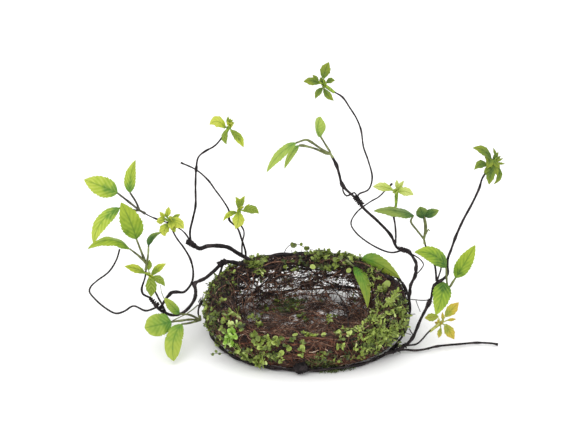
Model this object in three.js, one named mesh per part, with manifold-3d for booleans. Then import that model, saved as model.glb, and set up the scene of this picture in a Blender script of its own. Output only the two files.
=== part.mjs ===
// A bird's nest of wound twigs, dressed with baby tears and tied into two leafy vine branches.
// It stands by itself on its woven floor. Lengths are millimetres, +Z is up, +Y is away from the viewer,
// and the origin is the middle of the floor's underside.
import * as THREE from "three";
import { mergeVertices } from "three/addons/utils/BufferGeometryUtils.js";
import Module from "manifold-3d";

const wasm = await Module();
wasm.setup();

// Driving dimensions of the nest
const RING_HALF_WIDTH = 97; // middle of the wall, left to right
const RING_HALF_BACK = 91; // middle of the wall, from the nest's middle to the back
const RING_HALF_FRONT = 79; // and to the front, where the ring is flatter
const FRONT_DROP = 0.24; // share by which the wall is lower at the front than at the back
const RING_SQUARENESS = 2.3; // 2 is an oval in plan, more is squarer
const WALL_MIDDLE_HEIGHT = 27;
const WALL_HALF_HEIGHT = 25; // along the leaning wall
const WALL_HALF_THICKNESS = 15;
const WALL_LEAN = 20; // degrees outwards
const TWIG_RADIUS = 2.2;
const GAP = 0.35; // between pieces that touch

// The view from the front in which the places of vines and leaves are read: [x, y] in a picture 568 wide
// and 448 high with y down, and then how many millimetres the place is behind the nest's middle
const PICTURE_MIDDLE = { x: 284, y: 224 };
const PICTURE_SCALE = 1.159; // millimetres to one unit of the picture
const EYE_ELEVATION = 26.5; // degrees
const EYE_DISTANCE = 2500;
const EYE_AIM = { across: -26, up: 127 }; // what the picture's middle shows, from the nest's origin

const degrees = THREE.MathUtils.degToRad;
const vec = (x, y, z) => new THREE.Vector3(x, y, z);

// Repeatable random numbers from 0 to 1
function dice(seed) {
  let state = seed;
  return () => {
    state = (state * 1664525 + 1013904223) % 4294967296;
    return state / 4294967296;
  };
}

// The picture plane stands square to the line of sight and passes through the nest's origin.
const PLANE_UP = vec(0, Math.sin(degrees(EYE_ELEVATION)), Math.cos(degrees(EYE_ELEVATION)));
const TO_EYE = vec(0, -Math.cos(degrees(EYE_ELEVATION)), Math.sin(degrees(EYE_ELEVATION)));
const EYE = vec(EYE_AIM.across, 0, 0)
  .addScaledVector(PLANE_UP, EYE_AIM.up)
  .addScaledVector(TO_EYE, EYE_DISTANCE);

// The point in space that such a reading stands for
function seen([x, y, behind]) {
  const across = EYE_AIM.across + (x - PICTURE_MIDDLE.x) * PICTURE_SCALE;
  const up = EYE_AIM.up + (PICTURE_MIDDLE.y - y) * PICTURE_SCALE;
  const onPlane = vec(across, 0, 0).addScaledVector(PLANE_UP, up);
  const reach = (behind - EYE.y) / (onPlane.y - EYE.y);
  return EYE.clone().lerp(onPlane, reach);
}

// How far the middle of the nest's wall is from the nest's middle in a level direction
function planReach(radial) {
  const halfDepth = radial.y < 0 ? RING_HALF_FRONT : RING_HALF_BACK;
  const squared =
    Math.abs(radial.x / RING_HALF_WIDTH) ** RING_SQUARENESS +
    Math.abs(radial.y / halfDepth) ** RING_SQUARENESS;
  return squared ** (-1 / RING_SQUARENESS);
}

// A place on the nest's wall: degrees around from the right-hand side, degrees about the wall's section
// from its outer side up over the rim, and the height above the twigs' middle line
function onWall([around, about, lift = 0]) {
  const turn = degrees(around);
  const radial = vec(Math.cos(turn), Math.sin(turn), 0);
  const reach = planReach(radial);
  const lean = degrees(WALL_LEAN);
  const out = radial.clone().multiplyScalar(Math.cos(lean)).setZ(-Math.sin(lean));
  const up = radial.clone().multiplyScalar(Math.sin(lean)).setZ(Math.cos(lean));
  const c = Math.cos(degrees(about));
  const s = Math.sin(degrees(about));
  const normal = out.clone().multiplyScalar(c / WALL_HALF_THICKNESS);
  normal.addScaledVector(up, s / WALL_HALF_HEIGHT).normalize();
  const place = radial.clone().multiplyScalar(reach).setZ(WALL_MIDDLE_HEIGHT);
  place.addScaledVector(out, c * WALL_HALF_THICKNESS).addScaledVector(up, s * WALL_HALF_HEIGHT);
  place.z *= 1 - FRONT_DROP * Math.max(0, -radial.y) ** 2;
  return { place: place.addScaledVector(normal, lift), normal };
}

// Solids
function solidOf(geometry) {
  const bare = geometry.clone();
  bare.deleteAttribute("normal");
  bare.deleteAttribute("uv");
  const merged = mergeVertices(bare, 1e-4);
  return new wasm.Manifold(
    new wasm.Mesh({
      numProp: 3,
      vertProperties: merged.attributes.position.array,
      triVerts: new Uint32Array(merged.index.array),
    }),
  );
}

function joined(solids) {
  return solids.reduce((whole, next) => whole.add(next));
}

function indexed(points, triangles) {
  const geometry = new THREE.BufferGeometry().setFromPoints(points);
  geometry.setIndex(triangles.flat());
  return geometry;
}

// Rings of the same number of points, sewn to each other, with flat ends unless the last ring meets the first
function sewn(rings, closed = false) {
  const sides = rings[0].length;
  const triangles = [];
  const last = closed ? rings.length : rings.length - 1;
  for (let ring = 0; ring < last; ring++) {
    const here = ring * sides;
    const next = ((ring + 1) % rings.length) * sides;
    for (let side = 0; side < sides; side++) {
      const beside = (side + 1) % sides;
      triangles.push([here + side, here + beside, next + side]);
      triangles.push([here + beside, next + beside, next + side]);
    }
  }
  if (!closed) {
    const end = (rings.length - 1) * sides;
    for (let side = 1; side < sides - 1; side++) {
      triangles.push([0, side + 1, side]);
      triangles.push([end, end + side, end + side + 1]);
    }
  }
  return solidOf(indexed(rings.flat(), triangles));
}

function ringAt(place, normal, side, radius, sides, start = 0) {
  return Array.from({ length: sides }, (_, i) => {
    const angle = start + (2 * Math.PI * i) / sides;
    return place
      .clone()
      .addScaledVector(normal, radius * Math.cos(angle))
      .addScaledVector(side, radius * Math.sin(angle));
  });
}

// A round stem through the given points. Each knot is [share of the length, extra radius], and grow makes
// the stem larger all round.
function stem(points, { thick, thin = thick, knots = [], sides = 4, step = 16, grow = 0 }) {
  const KNOT_HALF_LENGTH = 6;
  const route = points.map((point) => point.clone());
  const first = points[0].clone().sub(points[1]).setLength(grow);
  const final = points.at(-1).clone().sub(points.at(-2)).setLength(grow);
  route[0].add(first);
  route.at(-1).add(final);
  const curve = new THREE.CatmullRomCurve3(route, false, "centripetal");
  const length = curve.getLength();
  const steps = Math.max(2, Math.round(length / step));
  const stops = Array.from({ length: steps + 1 }, (_, i) => i / steps);
  for (const [share] of knots)
    for (const offset of [-1, 0, 1]) stops.push(share + (offset * KNOT_HALF_LENGTH) / length);
  const sorted = stops
    .filter((t) => t >= 0 && t <= 1)
    .sort((a, b) => a - b)
    .filter((t, i, all) => i === 0 || t === 1 || t - all[i - 1] > 1.2 / length);
  let normal = null;
  const rings = sorted.map((t) => {
    const tangent = curve.getTangentAt(t);
    if (!normal) normal = Math.abs(tangent.z) < 0.9 ? vec(0, 0, 1) : vec(1, 0, 0);
    normal = normal.clone().addScaledVector(tangent, -normal.dot(tangent)).normalize();
    const side = tangent.clone().cross(normal);
    let radius = thick + (thin - thick) * t + grow;
    for (const [share, extra] of knots)
      radius += extra * Math.max(0, 1 - ((Math.abs(t - share) * length) / KNOT_HALF_LENGTH) ** 2);
    return ringAt(curve.getPointAt(t), normal, side, radius, sides);
  });
  return sewn(rings);
}

// Leaves
const BLADE_THICKNESS = 0.9;

// A leaf blade from its base to its tip. turn is how far it is rolled away from facing the eye, arch is how
// high its midrib rises, and teeth is how many there are along each edge.
function blade({ base, tip, width, turn = 0, arch = 0, teeth = 0, fold = 0.18, grow = 0 }) {
  const BROADEST = 0.72; // power that puts the broadest place near the base
  const along = tip.clone().sub(base);
  const length = along.length() + grow;
  along.normalize();
  const face = TO_EYE.clone().addScaledVector(along, -TO_EYE.dot(along)).normalize();
  face.applyAxisAngle(along, degrees(turn));
  const side = along.clone().cross(face);
  const stations = teeth ? 2 * teeth : 4;
  const layer = (lift) => {
    const points = [];
    for (let i = 1; i < stations; i++) {
      const t = i / stations;
      const notch = teeth && i % 2 === 0 ? 0.84 : 1;
      const half = (width / 2) * Math.sin(Math.PI * t ** BROADEST) * notch + grow;
      const spine = base.clone().addScaledVector(along, length * t);
      spine.addScaledVector(face, 4 * arch * t * (1 - t) + lift);
      const edge = (way) =>
        spine.clone().addScaledVector(side, way * half).addScaledVector(face, -fold * half);
      points.push(edge(-1), spine, edge(1));
    }
    return points;
  };
  const top = layer(BLADE_THICKNESS / 2 + grow);
  const end = base.clone().addScaledVector(along, length);
  const points = [...top, ...layer(-BLADE_THICKNESS / 2 - grow), base.clone(), end];
  const under = top.length;
  const root = 2 * under;
  const apex = root + 1;
  const triangles = [];
  const quad = (a, b, c, d) => triangles.push([a, b, c], [a, c, d]);
  const row = (i, layerStart) => [0, 1, 2].map((k) => layerStart + 3 * i + k);
  const rows = stations - 1;
  for (let i = 0; i < rows - 1; i++) {
    const [l, m, r] = row(i, 0);
    const [l2, m2, r2] = row(i + 1, 0);
    quad(l, m, m2, l2);
    quad(m, r, r2, m2);
    quad(l + under, l2 + under, m2 + under, m + under);
    quad(m + under, m2 + under, r2 + under, r + under);
    quad(l, l2, l2 + under, l + under);
    quad(r, r + under, r2 + under, r2);
  }
  const [l, m, r] = row(0, 0);
  triangles.push([root, m, l], [root, r, m], [root, l, l + under], [root, r + under, r]);
  triangles.push([root, l + under, m + under], [root, m + under, r + under]);
  const [le, me, re] = row(rows - 1, 0);
  triangles.push([apex, le, me], [apex, me, re], [apex, le + under, le], [apex, re, re + under]);
  triangles.push([apex, me + under, le + under], [apex, re + under, me + under]);
  const made = solidOf(indexed(points, triangles));
  return made.volume() > 0 ? made : solidOf(indexed(points, triangles.map(([a, b, c]) => [a, c, b])));
}

// Materials
const paint = (color, roughness) => new THREE.MeshStandardMaterial({ color, roughness, metalness: 0 });
const TWIG = paint("#5b4036", 0.85);
const VINE = paint("#2c2523", 0.7);
const LEAF = paint("#86b535", 0.55);
const YOUNG_LEAF = paint("#a6b53c", 0.55);
const BABY_TEARS = paint("#7fa548", 0.6);

const part = new THREE.Group();
const taken = []; // the room that earlier pieces take up, with the gap round them

// Adds a piece. make(grow) gives its solids, larger all round by grow. The piece keeps clear of the pieces
// before it, and what that leaves loose is dropped.
function put(name, make, material) {
  let solid = joined(make(0));
  const near = taken.filter((room) => overlap(solid.boundingBox(), room.boundingBox()));
  for (const room of near) solid = solid.subtract(room);
  const bodies = solid.decompose().sort((a, b) => b.volume() - a.volume());
  const { numProp, vertProperties, triVerts } = bodies[0].getMesh();
  const position = new Float32Array((vertProperties.length / numProp) * 3);
  for (let i = 0; i < position.length / 3; i++)
    position.set(vertProperties.subarray(i * numProp, i * numProp + 3), i * 3);
  const geometry = new THREE.BufferGeometry();
  geometry.setAttribute("position", new THREE.BufferAttribute(position, 3));
  geometry.setIndex(new THREE.BufferAttribute(new Uint32Array(triVerts), 1));
  geometry.computeVertexNormals();
  const mesh = new THREE.Mesh(geometry, material);
  mesh.name = name;
  part.add(mesh);
  taken.push(joined(make(GAP)));
}

function overlap(a, b) {
  return [0, 1, 2].every((axis) => a.min[axis] < b.max[axis] && b.min[axis] < a.max[axis]);
}

// The nest's wall: closed twigs wound about its section. Level ones wave up and down, and between them
// others climb once over the rim and back under the wall on their way round, to the right or to the left.
function wallTwigs(grow) {
  const STOPS = 20;
  const WINDINGS = [
    { turns: 0, twigs: 7, first: 12, wave: 13, waves: 3 },
    { turns: 1, twigs: 2, first: 40, wave: 9, waves: 2 },
    { turns: -1, twigs: 2, first: 75, wave: 9, waves: 2 },
  ];
  const random = dice(7);
  const solids = [];
  for (const { turns, twigs, first, wave, waves } of WINDINGS) {
    for (let twig = 0; twig < twigs; twig++) {
      const phase = 2 * Math.PI * random();
      const start = first + (360 * twig) / twigs;
      const places = Array.from({ length: STOPS }, (_, stop) => {
        const around = (360 * stop) / STOPS;
        return onWall([around, start + turns * around + wave * Math.sin(degrees(around) * waves + phase)]);
      });
      const rings = places.map(({ place, normal }, stop) => {
        const ahead = places[(stop + 1) % STOPS].place;
        const behind = places[(stop + STOPS - 1) % STOPS].place;
        const side = ahead.clone().sub(behind).normalize().cross(normal).normalize();
        return ringAt(place, normal, side, TWIG_RADIUS + grow, 4);
      });
      solids.push(sewn(rings, true));
    }
  }
  return solids;
}

// The nest's floor: twigs laid across each other from wall to wall. The first crosses the middle.
function floorTwigs(grow) {
  const TWIGS = 6;
  const MIDDLE_HEIGHT = 1.4;
  const END_HEIGHT = 3.4;
  const FURTHEST = 50; // from the middle to a twig's nearest point
  const STEPS = 3;
  const random = dice(19);
  return Array.from({ length: TWIGS }, (_, twig) => {
    const heading = degrees((180 * twig) / TWIGS + (twig ? 10 * (random() - 0.5) : 0));
    const along = vec(Math.cos(heading), Math.sin(heading), 0);
    const sideways = vec(-along.y, along.x, 0);
    const offset = twig ? FURTHEST * (((twig * 5) % TWIGS) / (TWIGS - 1) - 0.5) * 2 : 0;
    const half = Math.sqrt(88 ** 2 - offset ** 2);
    const rings = Array.from({ length: STEPS + 1 }, (_, stop) => {
      const t = (2 * stop) / STEPS - 1;
      const place = along.clone().multiplyScalar(t * half).addScaledVector(sideways, offset);
      place.z = MIDDLE_HEIGHT + (END_HEIGHT - MIDDLE_HEIGHT) * t * t;
      if (place.y < 0) place.y *= RING_HALF_FRONT / RING_HALF_BACK;
      const down = along.clone().cross(vec(0, 0, 1));
      return ringAt(place, vec(0, 0, 1), down, (TWIG_RADIUS + grow) * Math.SQRT2 * 0.9, 4, Math.PI / 4);
    });
    return sewn(rings);
  });
}

const BELOW_FLOOR = solidOf(new THREE.BoxGeometry(400, 400, 20).translate(0, 0, -10));
put(
  "nest",
  (grow) => [joined([...wallTwigs(grow), ...floorTwigs(grow)]).subtract(BELOW_FLOOR)],
  TWIG,
);

// The hoop of vine bound round the nest, as degrees around and about its wall. It lies along the foot in
// front, where it is tied, climbs both sides, and runs outside the rim behind.
const HOOP = [
  [266, -35],
  [290, -36],
  [314, -38],
  [332, -33],
  [344, -14],
  [353, 12],
  [362, 36],
  [374, 52],
  [390, 60],
  [420, 64],
  [450, 64],
  [480, 62],
  [500, 54],
  [516, 38],
  [528, 16],
  [542, -8],
  [560, -28],
  [582, -38],
  [604, -36.5],
];
const HOOP_RADIUS = 2.6;
const HUG = TWIG_RADIUS + GAP; // how far outside the twigs' middle line another piece's side may come

function hoop(grow) {
  const STOPS = 34;
  const route = HOOP.map(([around, about]) => onWall([around, about, HUG + HOOP_RADIUS]).place);
  const curve = new THREE.CatmullRomCurve3(route, true, "centripetal");
  const rings = Array.from({ length: STOPS }, (_, stop) => {
    const place = curve.getPointAt(stop / STOPS);
    const along = curve.getTangentAt(stop / STOPS);
    const out = place.clone().setZ(0);
    out.addScaledVector(along, -out.dot(along)).normalize();
    const bulge = 0.3 * Math.sin(stop * 2.4);
    return ringAt(place, out, along.clone().cross(out), HOOP_RADIUS + bulge + grow, 5, 0.3);
  });
  const made = sewn(rings, true);
  return made.volume() > 0 ? made : sewn(rings.reverse(), true);
}

function knot(grow) {
  const { place } = onWall([...HOOP[0], HUG + HOOP_RADIUS]);
  const across = vec(7, 0, 0);
  const up = vec(0, 0, 4.4);
  return stem([place.clone().sub(across).add(up), place.clone().add(across).add(up)], {
    thick: 3.4,
    sides: 6,
    step: 6,
    grow,
  });
}

// A second, thinner vine that leaves the knot and runs along the nest's front above the hoop
const UPPER_VINE = [
  [262, -37],
  [274, -30],
  [288, -22],
  [302, -29],
  [314, -37.5],
];

function upperVine(grow) {
  const RADIUS = 1.5;
  const route = UPPER_VINE.map(([around, about]) => onWall([around, about, HUG + RADIUS + 0.2]).place);
  return stem(route, { thick: RADIUS, grow });
}

put("base_hoop", (grow) => [hoop(grow), knot(grow), upperVine(grow)], VINE);

// The vines. Each wire is its route, its thickness at both ends and its knots.
function wires(routes) {
  return (grow) => routes.map(({ route, ...shape }) => stem(route.map(seen), { ...shape, grow }));
}

// Upper left: a thick vine from the nest's back rim, with three thin ones that rise from it
const LEFT_UPPER_VINE = [
  {
    route: [
      [186, 241.5, 62],
      [191, 243, 62],
      [199.4, 248.5, 64],
      [208, 246, 66],
      [227, 247, 70],
      [237, 252.7, 73],
      [245.5, 257.5, 76],
      [257, 262.5, 80],
    ],
    thick: 3,
    thin: 2.5,
    sides: 5,
    knots: [[0.1, 1.2]],
  },
  {
    route: [
      [191, 243, 62],
      [190, 232, 61],
      [193, 218, 60],
      [195.5, 206, 59],
      [195.5, 186, 57],
      [196.2, 169, 55],
      [198.5, 157, 53],
      [205.5, 151, 52],
      [213, 147, 51],
      [218, 142.6, 50],
      [225, 133, 50],
    ],
    thick: 1.4,
    thin: 1,
  },
  {
    route: [
      [181, 162.7, 40],
      [196.2, 169.8, 46],
      [208.5, 180.6, 52],
      [215, 189.6, 56],
      [222.7, 200, 60],
      [229, 211, 63],
      [229.3, 220, 66],
      [237.4, 228, 69],
      [241.5, 239, 72],
      [245.6, 252, 75],
      [245.6, 258, 76],
    ],
    thick: 0.9,
    thin: 1.4,
  },
  {
    route: [
      [239.4, 214, 66],
      [241, 225, 66],
      [243.6, 230, 67],
      [244, 235, 69],
      [242.8, 239.6, 71],
      [242, 245, 73],
      [242, 256, 75],
    ],
    thick: 1,
    thin: 1.4,
  },
  {
    route: [
      [191, 243, 62],
      [186.4, 235, 58],
      [181.5, 230, 52],
      [176.5, 227, 48.5],
    ],
    thick: 1.4,
    thin: 1,
  },
];

// Lower left: a thick knotty vine from the nest's left, with the wires wound into its end
const LEFT_LOWER_VINE = [
  {
    route: [
      [244, 265, 73],
      [232, 262, 68],
      [223.6, 262.4, 62],
      [215, 270, 52],
      [205.5, 278, 40],
      [194.5, 284, 26],
      [195.6, 290, 18],
      [195, 297.6, 10],
      [191, 305, 4],
      [184, 312, 0],
      [173.4, 315.2, -5],
      [162.5, 311.7, -3],
      [157, 307, 0],
      [150, 297.6, 5],
    ],
    thick: 3.1,
    thin: 2.3,
    sides: 5,
    knots: [
      [0.16, 1.3],
      [0.47, 1],
      [0.9, 1.2],
    ],
  },
  {
    route: [
      [223.6, 262.4, 62],
      [217.5, 279, 50],
      [211.5, 285, 38],
      [205, 298, 17],
      [200.5, 304, 8],
      [198.5, 309, 3],
      [198.5, 315, -4],
      [200.5, 319, -9],
    ],
    thick: 1.3,
    thin: 1.1,
    knots: [[0.72, 1]],
  },
  {
    route: [
      [171, 223.4, 45],
      [173.4, 232, 42],
      [177, 238.6, 40],
      [184, 248, 38],
      [190.7, 260, 36],
      [193.2, 272, 32],
      [191.8, 282.5, 26],
      [184, 292, 16],
      [176.6, 292, 12],
      [171, 293, 9],
      [163.6, 302.5, 3],
      [160, 309, -2],
    ],
    thick: 1,
    thin: 1.9,
  },
  {
    route: [
      [172, 224, 45],
      [156.6, 219, 40],
      [149.6, 216, 36],
      [140.7, 211, 32],
    ],
    thick: 0.9,
  },
  {
    route: [
      [150, 276, 10],
      [151, 280, 10],
      [155, 291, 6],
      [159, 299, 2],
      [163, 306, -1],
      [166, 313, -5],
    ],
    thick: 1.1,
    thin: 1.5,
  },
  {
    route: [
      [146.3, 266, 14],
      [145, 277.6, 12],
      [141.7, 289, 8],
      [143, 294, 6],
      [150, 297.6, 5],
    ],
    thick: 1,
    thin: 1.6,
  },
  {
    route: [
      [119.7, 249, 20],
      [116.6, 259.4, 16],
      [109, 271.6, 10],
      [96.7, 281, 4],
      [90.6, 287, 0],
      [89.4, 291.5, -2],
      [95, 299, -4],
      [106, 308.4, -6],
      [116, 313.4, -6],
      [124, 311.4, -5],
      [133.5, 306, -3],
      [145.7, 310.7, -3],
      [157.5, 307, 0],
    ],
    thick: 1,
    thin: 1.1,
  },
];

// Upper right: the main vine, which comes down to the hoop at the nest's right side, and its thin wires
const RIGHT_UPPER_VINE = [
  {
    route: [
      [331.7, 156, 30],
      [336.4, 165, 27],
      [339, 173.4, 24],
      [342.4, 185, 20],
      [350.4, 193.5, 17],
      [358, 200, 14],
      [362.5, 207, 12],
      [378.6, 222, 12],
      [390.6, 235, 12],
      [398, 248.4, 12],
      [408, 251, 11],
      [415, 261, 6],
      [416.6, 266.4, 3],
      [415, 275.5, 0],
      [411, 284.7, 0],
      [409.5, 293, 0],
      [408.8, 308, 0],
    ],
    thick: 1.7,
    thin: 2.2,
    sides: 5,
    knots: [
      [0.13, 1],
      [0.24, 1.4],
      [0.51, 1.6],
    ],
  },
  {
    route: [
      [329, 88, 40],
      [334.5, 92, 40],
      [342.4, 97, 39],
      [350, 108, 37],
      [356.3, 118, 36],
      [361, 130, 34],
      [363.5, 147, 31],
      [368, 160, 28],
      [372.2, 178, 22],
      [368.5, 189.5, 18],
      [358.5, 194.5, 15],
      [357.5, 200, 14],
    ],
    thick: 1,
    thin: 1.1,
  },
  {
    route: [
      [392, 183.7, 22],
      [385.3, 190.5, 24],
      [378.6, 197, 24],
      [370.5, 201.6, 22],
      [357, 212, 20],
      [351, 223.7, 24],
      [357, 233.7, 24],
      [374.6, 246.4, 19],
      [391, 252.5, 14],
      [402, 250.5, 12],
    ],
    thick: 0.9,
    thin: 1,
  },
  {
    route: [
      [397, 196, 17],
      [395.2, 207, 16],
      [393.6, 214.6, 15],
      [395, 224, 14],
      [395.8, 234, 13],
      [395.6, 243, 12],
    ],
    thick: 1,
    thin: 1.2,
  },
  {
    route: [
      [410, 253, 11],
      [419.7, 259, 12],
      [423.5, 264.4, 10],
      [420.7, 269.7, 6],
      [415, 275.5, 0],
    ],
    thick: 0.9,
  },
];

// Lower right: a vine that curves down from the right to the hoop, and the tendril that lies on the ground
const RIGHT_LOWER_VINE = [
  {
    route: [
      [486, 172, 20],
      [482, 179, 20],
      [479.3, 188, 20],
      [471.6, 204.5, 19],
      [463.2, 220, 17],
      [455.4, 237.5, 13],
      [451, 250, 10],
      [447.7, 259, 7],
      [447.3, 266.4, 4],
      [447.7, 274, 1],
      [439.8, 281.4, -5],
      [434, 285, -8],
      [433, 289, -10],
      [431.5, 297, -14],
      [429, 303, -18],
      [420.6, 319.4, -28],
      [412.6, 337.7, -40],
      [406.8, 344.3, -45],
      [396.5, 350.4, -53.5],
      [384.5, 353.9, -60],
    ],
    thick: 1.2,
    thin: 2.2,
    sides: 5,
    knots: [
      [0.47, 1],
      [0.62, 1.4],
    ],
  },
  {
    route: [
      [424.2, 241, 6],
      [426.4, 248, 5],
      [431, 257, 3],
      [435.7, 265, 0],
      [438, 283, -6],
    ],
    thick: 1,
    thin: 1.2,
  },
  {
    route: [
      [439.8, 281.4, -5],
      [447, 287, -5],
    ],
    thick: 1.4,
  },
  {
    route: [
      [431, 330, -44],
      [428, 332.5, -46],
      [422, 339.5, -48],
      [416.5, 344, -48],
      [406, 345.5, -47],
    ],
    thick: 1,
    thin: 1.4,
  },
  {
    route: [
      [396, 350.7, -53.5],
      [404, 349.7, -47],
      [415, 350.4, -46],
      [425, 349.2, -43],
      [437, 346.3, -37],
      [460.6, 344, -30],
      [477, 342.7, -27],
      [493.3, 343.5, -29],
      [498, 345, -32],
    ],
    thick: 1.4,
    thin: 1,
  },
];

put("vine_left_upper", wires(LEFT_UPPER_VINE), VINE);
put("vine_left_lower", wires(LEFT_LOWER_VINE), VINE);
put("vine_right_upper", wires(RIGHT_UPPER_VINE), VINE);
put("vine_right_lower", wires(RIGHT_LOWER_VINE), VINE);

// Leaves. A spray is a sheath on its vine's end and leaves on stalks, which all start from the sheath.
const STALK_RADIUS = 0.9;

function spray({ sheath, leaves, sheathRadius = 2 }) {
  return (grow) => {
    const [foot, top] = sheath.map(seen);
    const past = top.clone().sub(foot).setLength(1.5).add(top);
    const solids = [stem([foot, top, past], { thick: sheathRadius, thin: 2.2, sides: 5, step: 40, grow })];
    for (const { stalk = [], tip, ...shape } of leaves) {
      const route = [top, ...stalk.map(seen)];
      const from = route.at(-1).clone();
      if (stalk.length) {
        route.push(from.clone().sub(route.at(-2)).setLength(1.3).add(from));
        solids.push(stem(route, { thick: STALK_RADIUS * 1.3, thin: STALK_RADIUS, grow }));
      }
      const root = seen(tip).sub(from).setLength(stalk.length ? -0.4 : 1.3);
      solids.push(blade({ base: root.add(from), tip: seen(tip), ...shape, grow }));
    }
    return solids;
  };
}

const THREE_LEAF_SPRAYS = {
  spray_left_top: {
    sheath: [
      [145, 213.4, 34],
      [139.5, 210.3, 31],
    ],
    leaves: [
      { stalk: [[129, 202, 28], [117, 193.4, 24]], tip: [84.2, 179, 10], width: 24, teeth: 5, arch: 3 },
      { stalk: [[136, 202, 34], [130.5, 192.7, 36]], tip: [136, 159.6, 40], width: 16, teeth: 5, turn: 20 },
      { stalk: [[131.8, 210.3, 28], [119.6, 208.7, 22]], tip: [92.5, 245, 0], width: 20, teeth: 5, arch: 10 },
    ],
  },
  spray_left_middle: {
    sheath: [
      [145.8, 270, 13.5],
      [146.4, 264, 14],
    ],
    leaves: [
      { stalk: [[143, 256, 15], [136.5, 239, 16]], tip: [122, 202, 12], width: 28, teeth: 5, arch: 3 },
      {
        stalk: [[140, 257, 12], [131, 249, 8]],
        tip: [87.5, 249.5, -10],
        width: 18,
        teeth: 5,
        arch: 13,
        turn: 25,
      },
      { stalk: [[148, 256, 12], [148, 246, 12]], tip: [162.5, 233, 10], width: 9, teeth: 4, turn: 40 },
    ],
  },
  spray_left_foot: {
    sheath: [
      [199.5, 316, -5],
      [200.5, 320, -10],
    ],
    leaves: [
      {
        stalk: [[190, 319.5, -20], [181, 320.6, -32], [171, 321, -38]],
        tip: [145, 330, -52],
        width: 28,
        teeth: 4,
      },
      { stalk: [[189.6, 323, -26], [182, 324.5, -38]], tip: [173, 361, -75], width: 23, teeth: 5, arch: 2 },
      { stalk: [[190, 315, -12], [181.5, 313.3, -14]], tip: [163.6, 297, -12], width: 9, teeth: 4, turn: 60 },
    ],
  },
  spray_right_top: {
    sheath: [
      [333, 158, 29],
      [330.5, 154, 31],
    ],
    leaves: [
      { stalk: [[327, 147, 32], [321, 137, 34]], tip: [318, 116, 38], width: 14, teeth: 5, turn: -30 },
      { stalk: [[319, 146.7, 24], [297.5, 143, 14]], tip: [266.8, 171.6, 0], width: 13, teeth: 5, arch: 6 },
      { stalk: [[320, 151, 30], [303.5, 146, 26]], tip: [284.4, 168.6, 18], width: 10, teeth: 5, arch: 4 },
    ],
  },
  spray_right_middle: {
    sheath: [
      [424.8, 244, 5.6],
      [424, 239, 6.4],
    ],
    leaves: [
      {
        stalk: [[417, 230.6, 2], [411.5, 220, -2]],
        tip: [373.2, 212, -10],
        width: 14,
        teeth: 5,
        arch: 2,
        turn: 45,
      },
      { stalk: [[425.5, 227.4, 8], [422, 217, 8]], tip: [438, 209.5, 2], width: 14, teeth: 4, turn: 30 },
    ],
  },
  spray_right_foot: {
    sheath: [
      [443.5, 284.3, -5],
      [447.5, 287.4, -5],
    ],
    leaves: [
      {
        stalk: [[446, 276, -8], [445.2, 268.5, -10]],
        tip: [413.7, 252.3, -24],
        width: 23,
        teeth: 5,
        arch: 2,
      },
      { stalk: [[451, 284, -8], [455.5, 277, -12]], tip: [475.4, 245, -16], width: 20, teeth: 5, arch: 2 },
      { stalk: [[446.5, 291, -14]], tip: [434, 317, -38], width: 25, teeth: 5, arch: 2 },
    ],
  },
};

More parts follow.
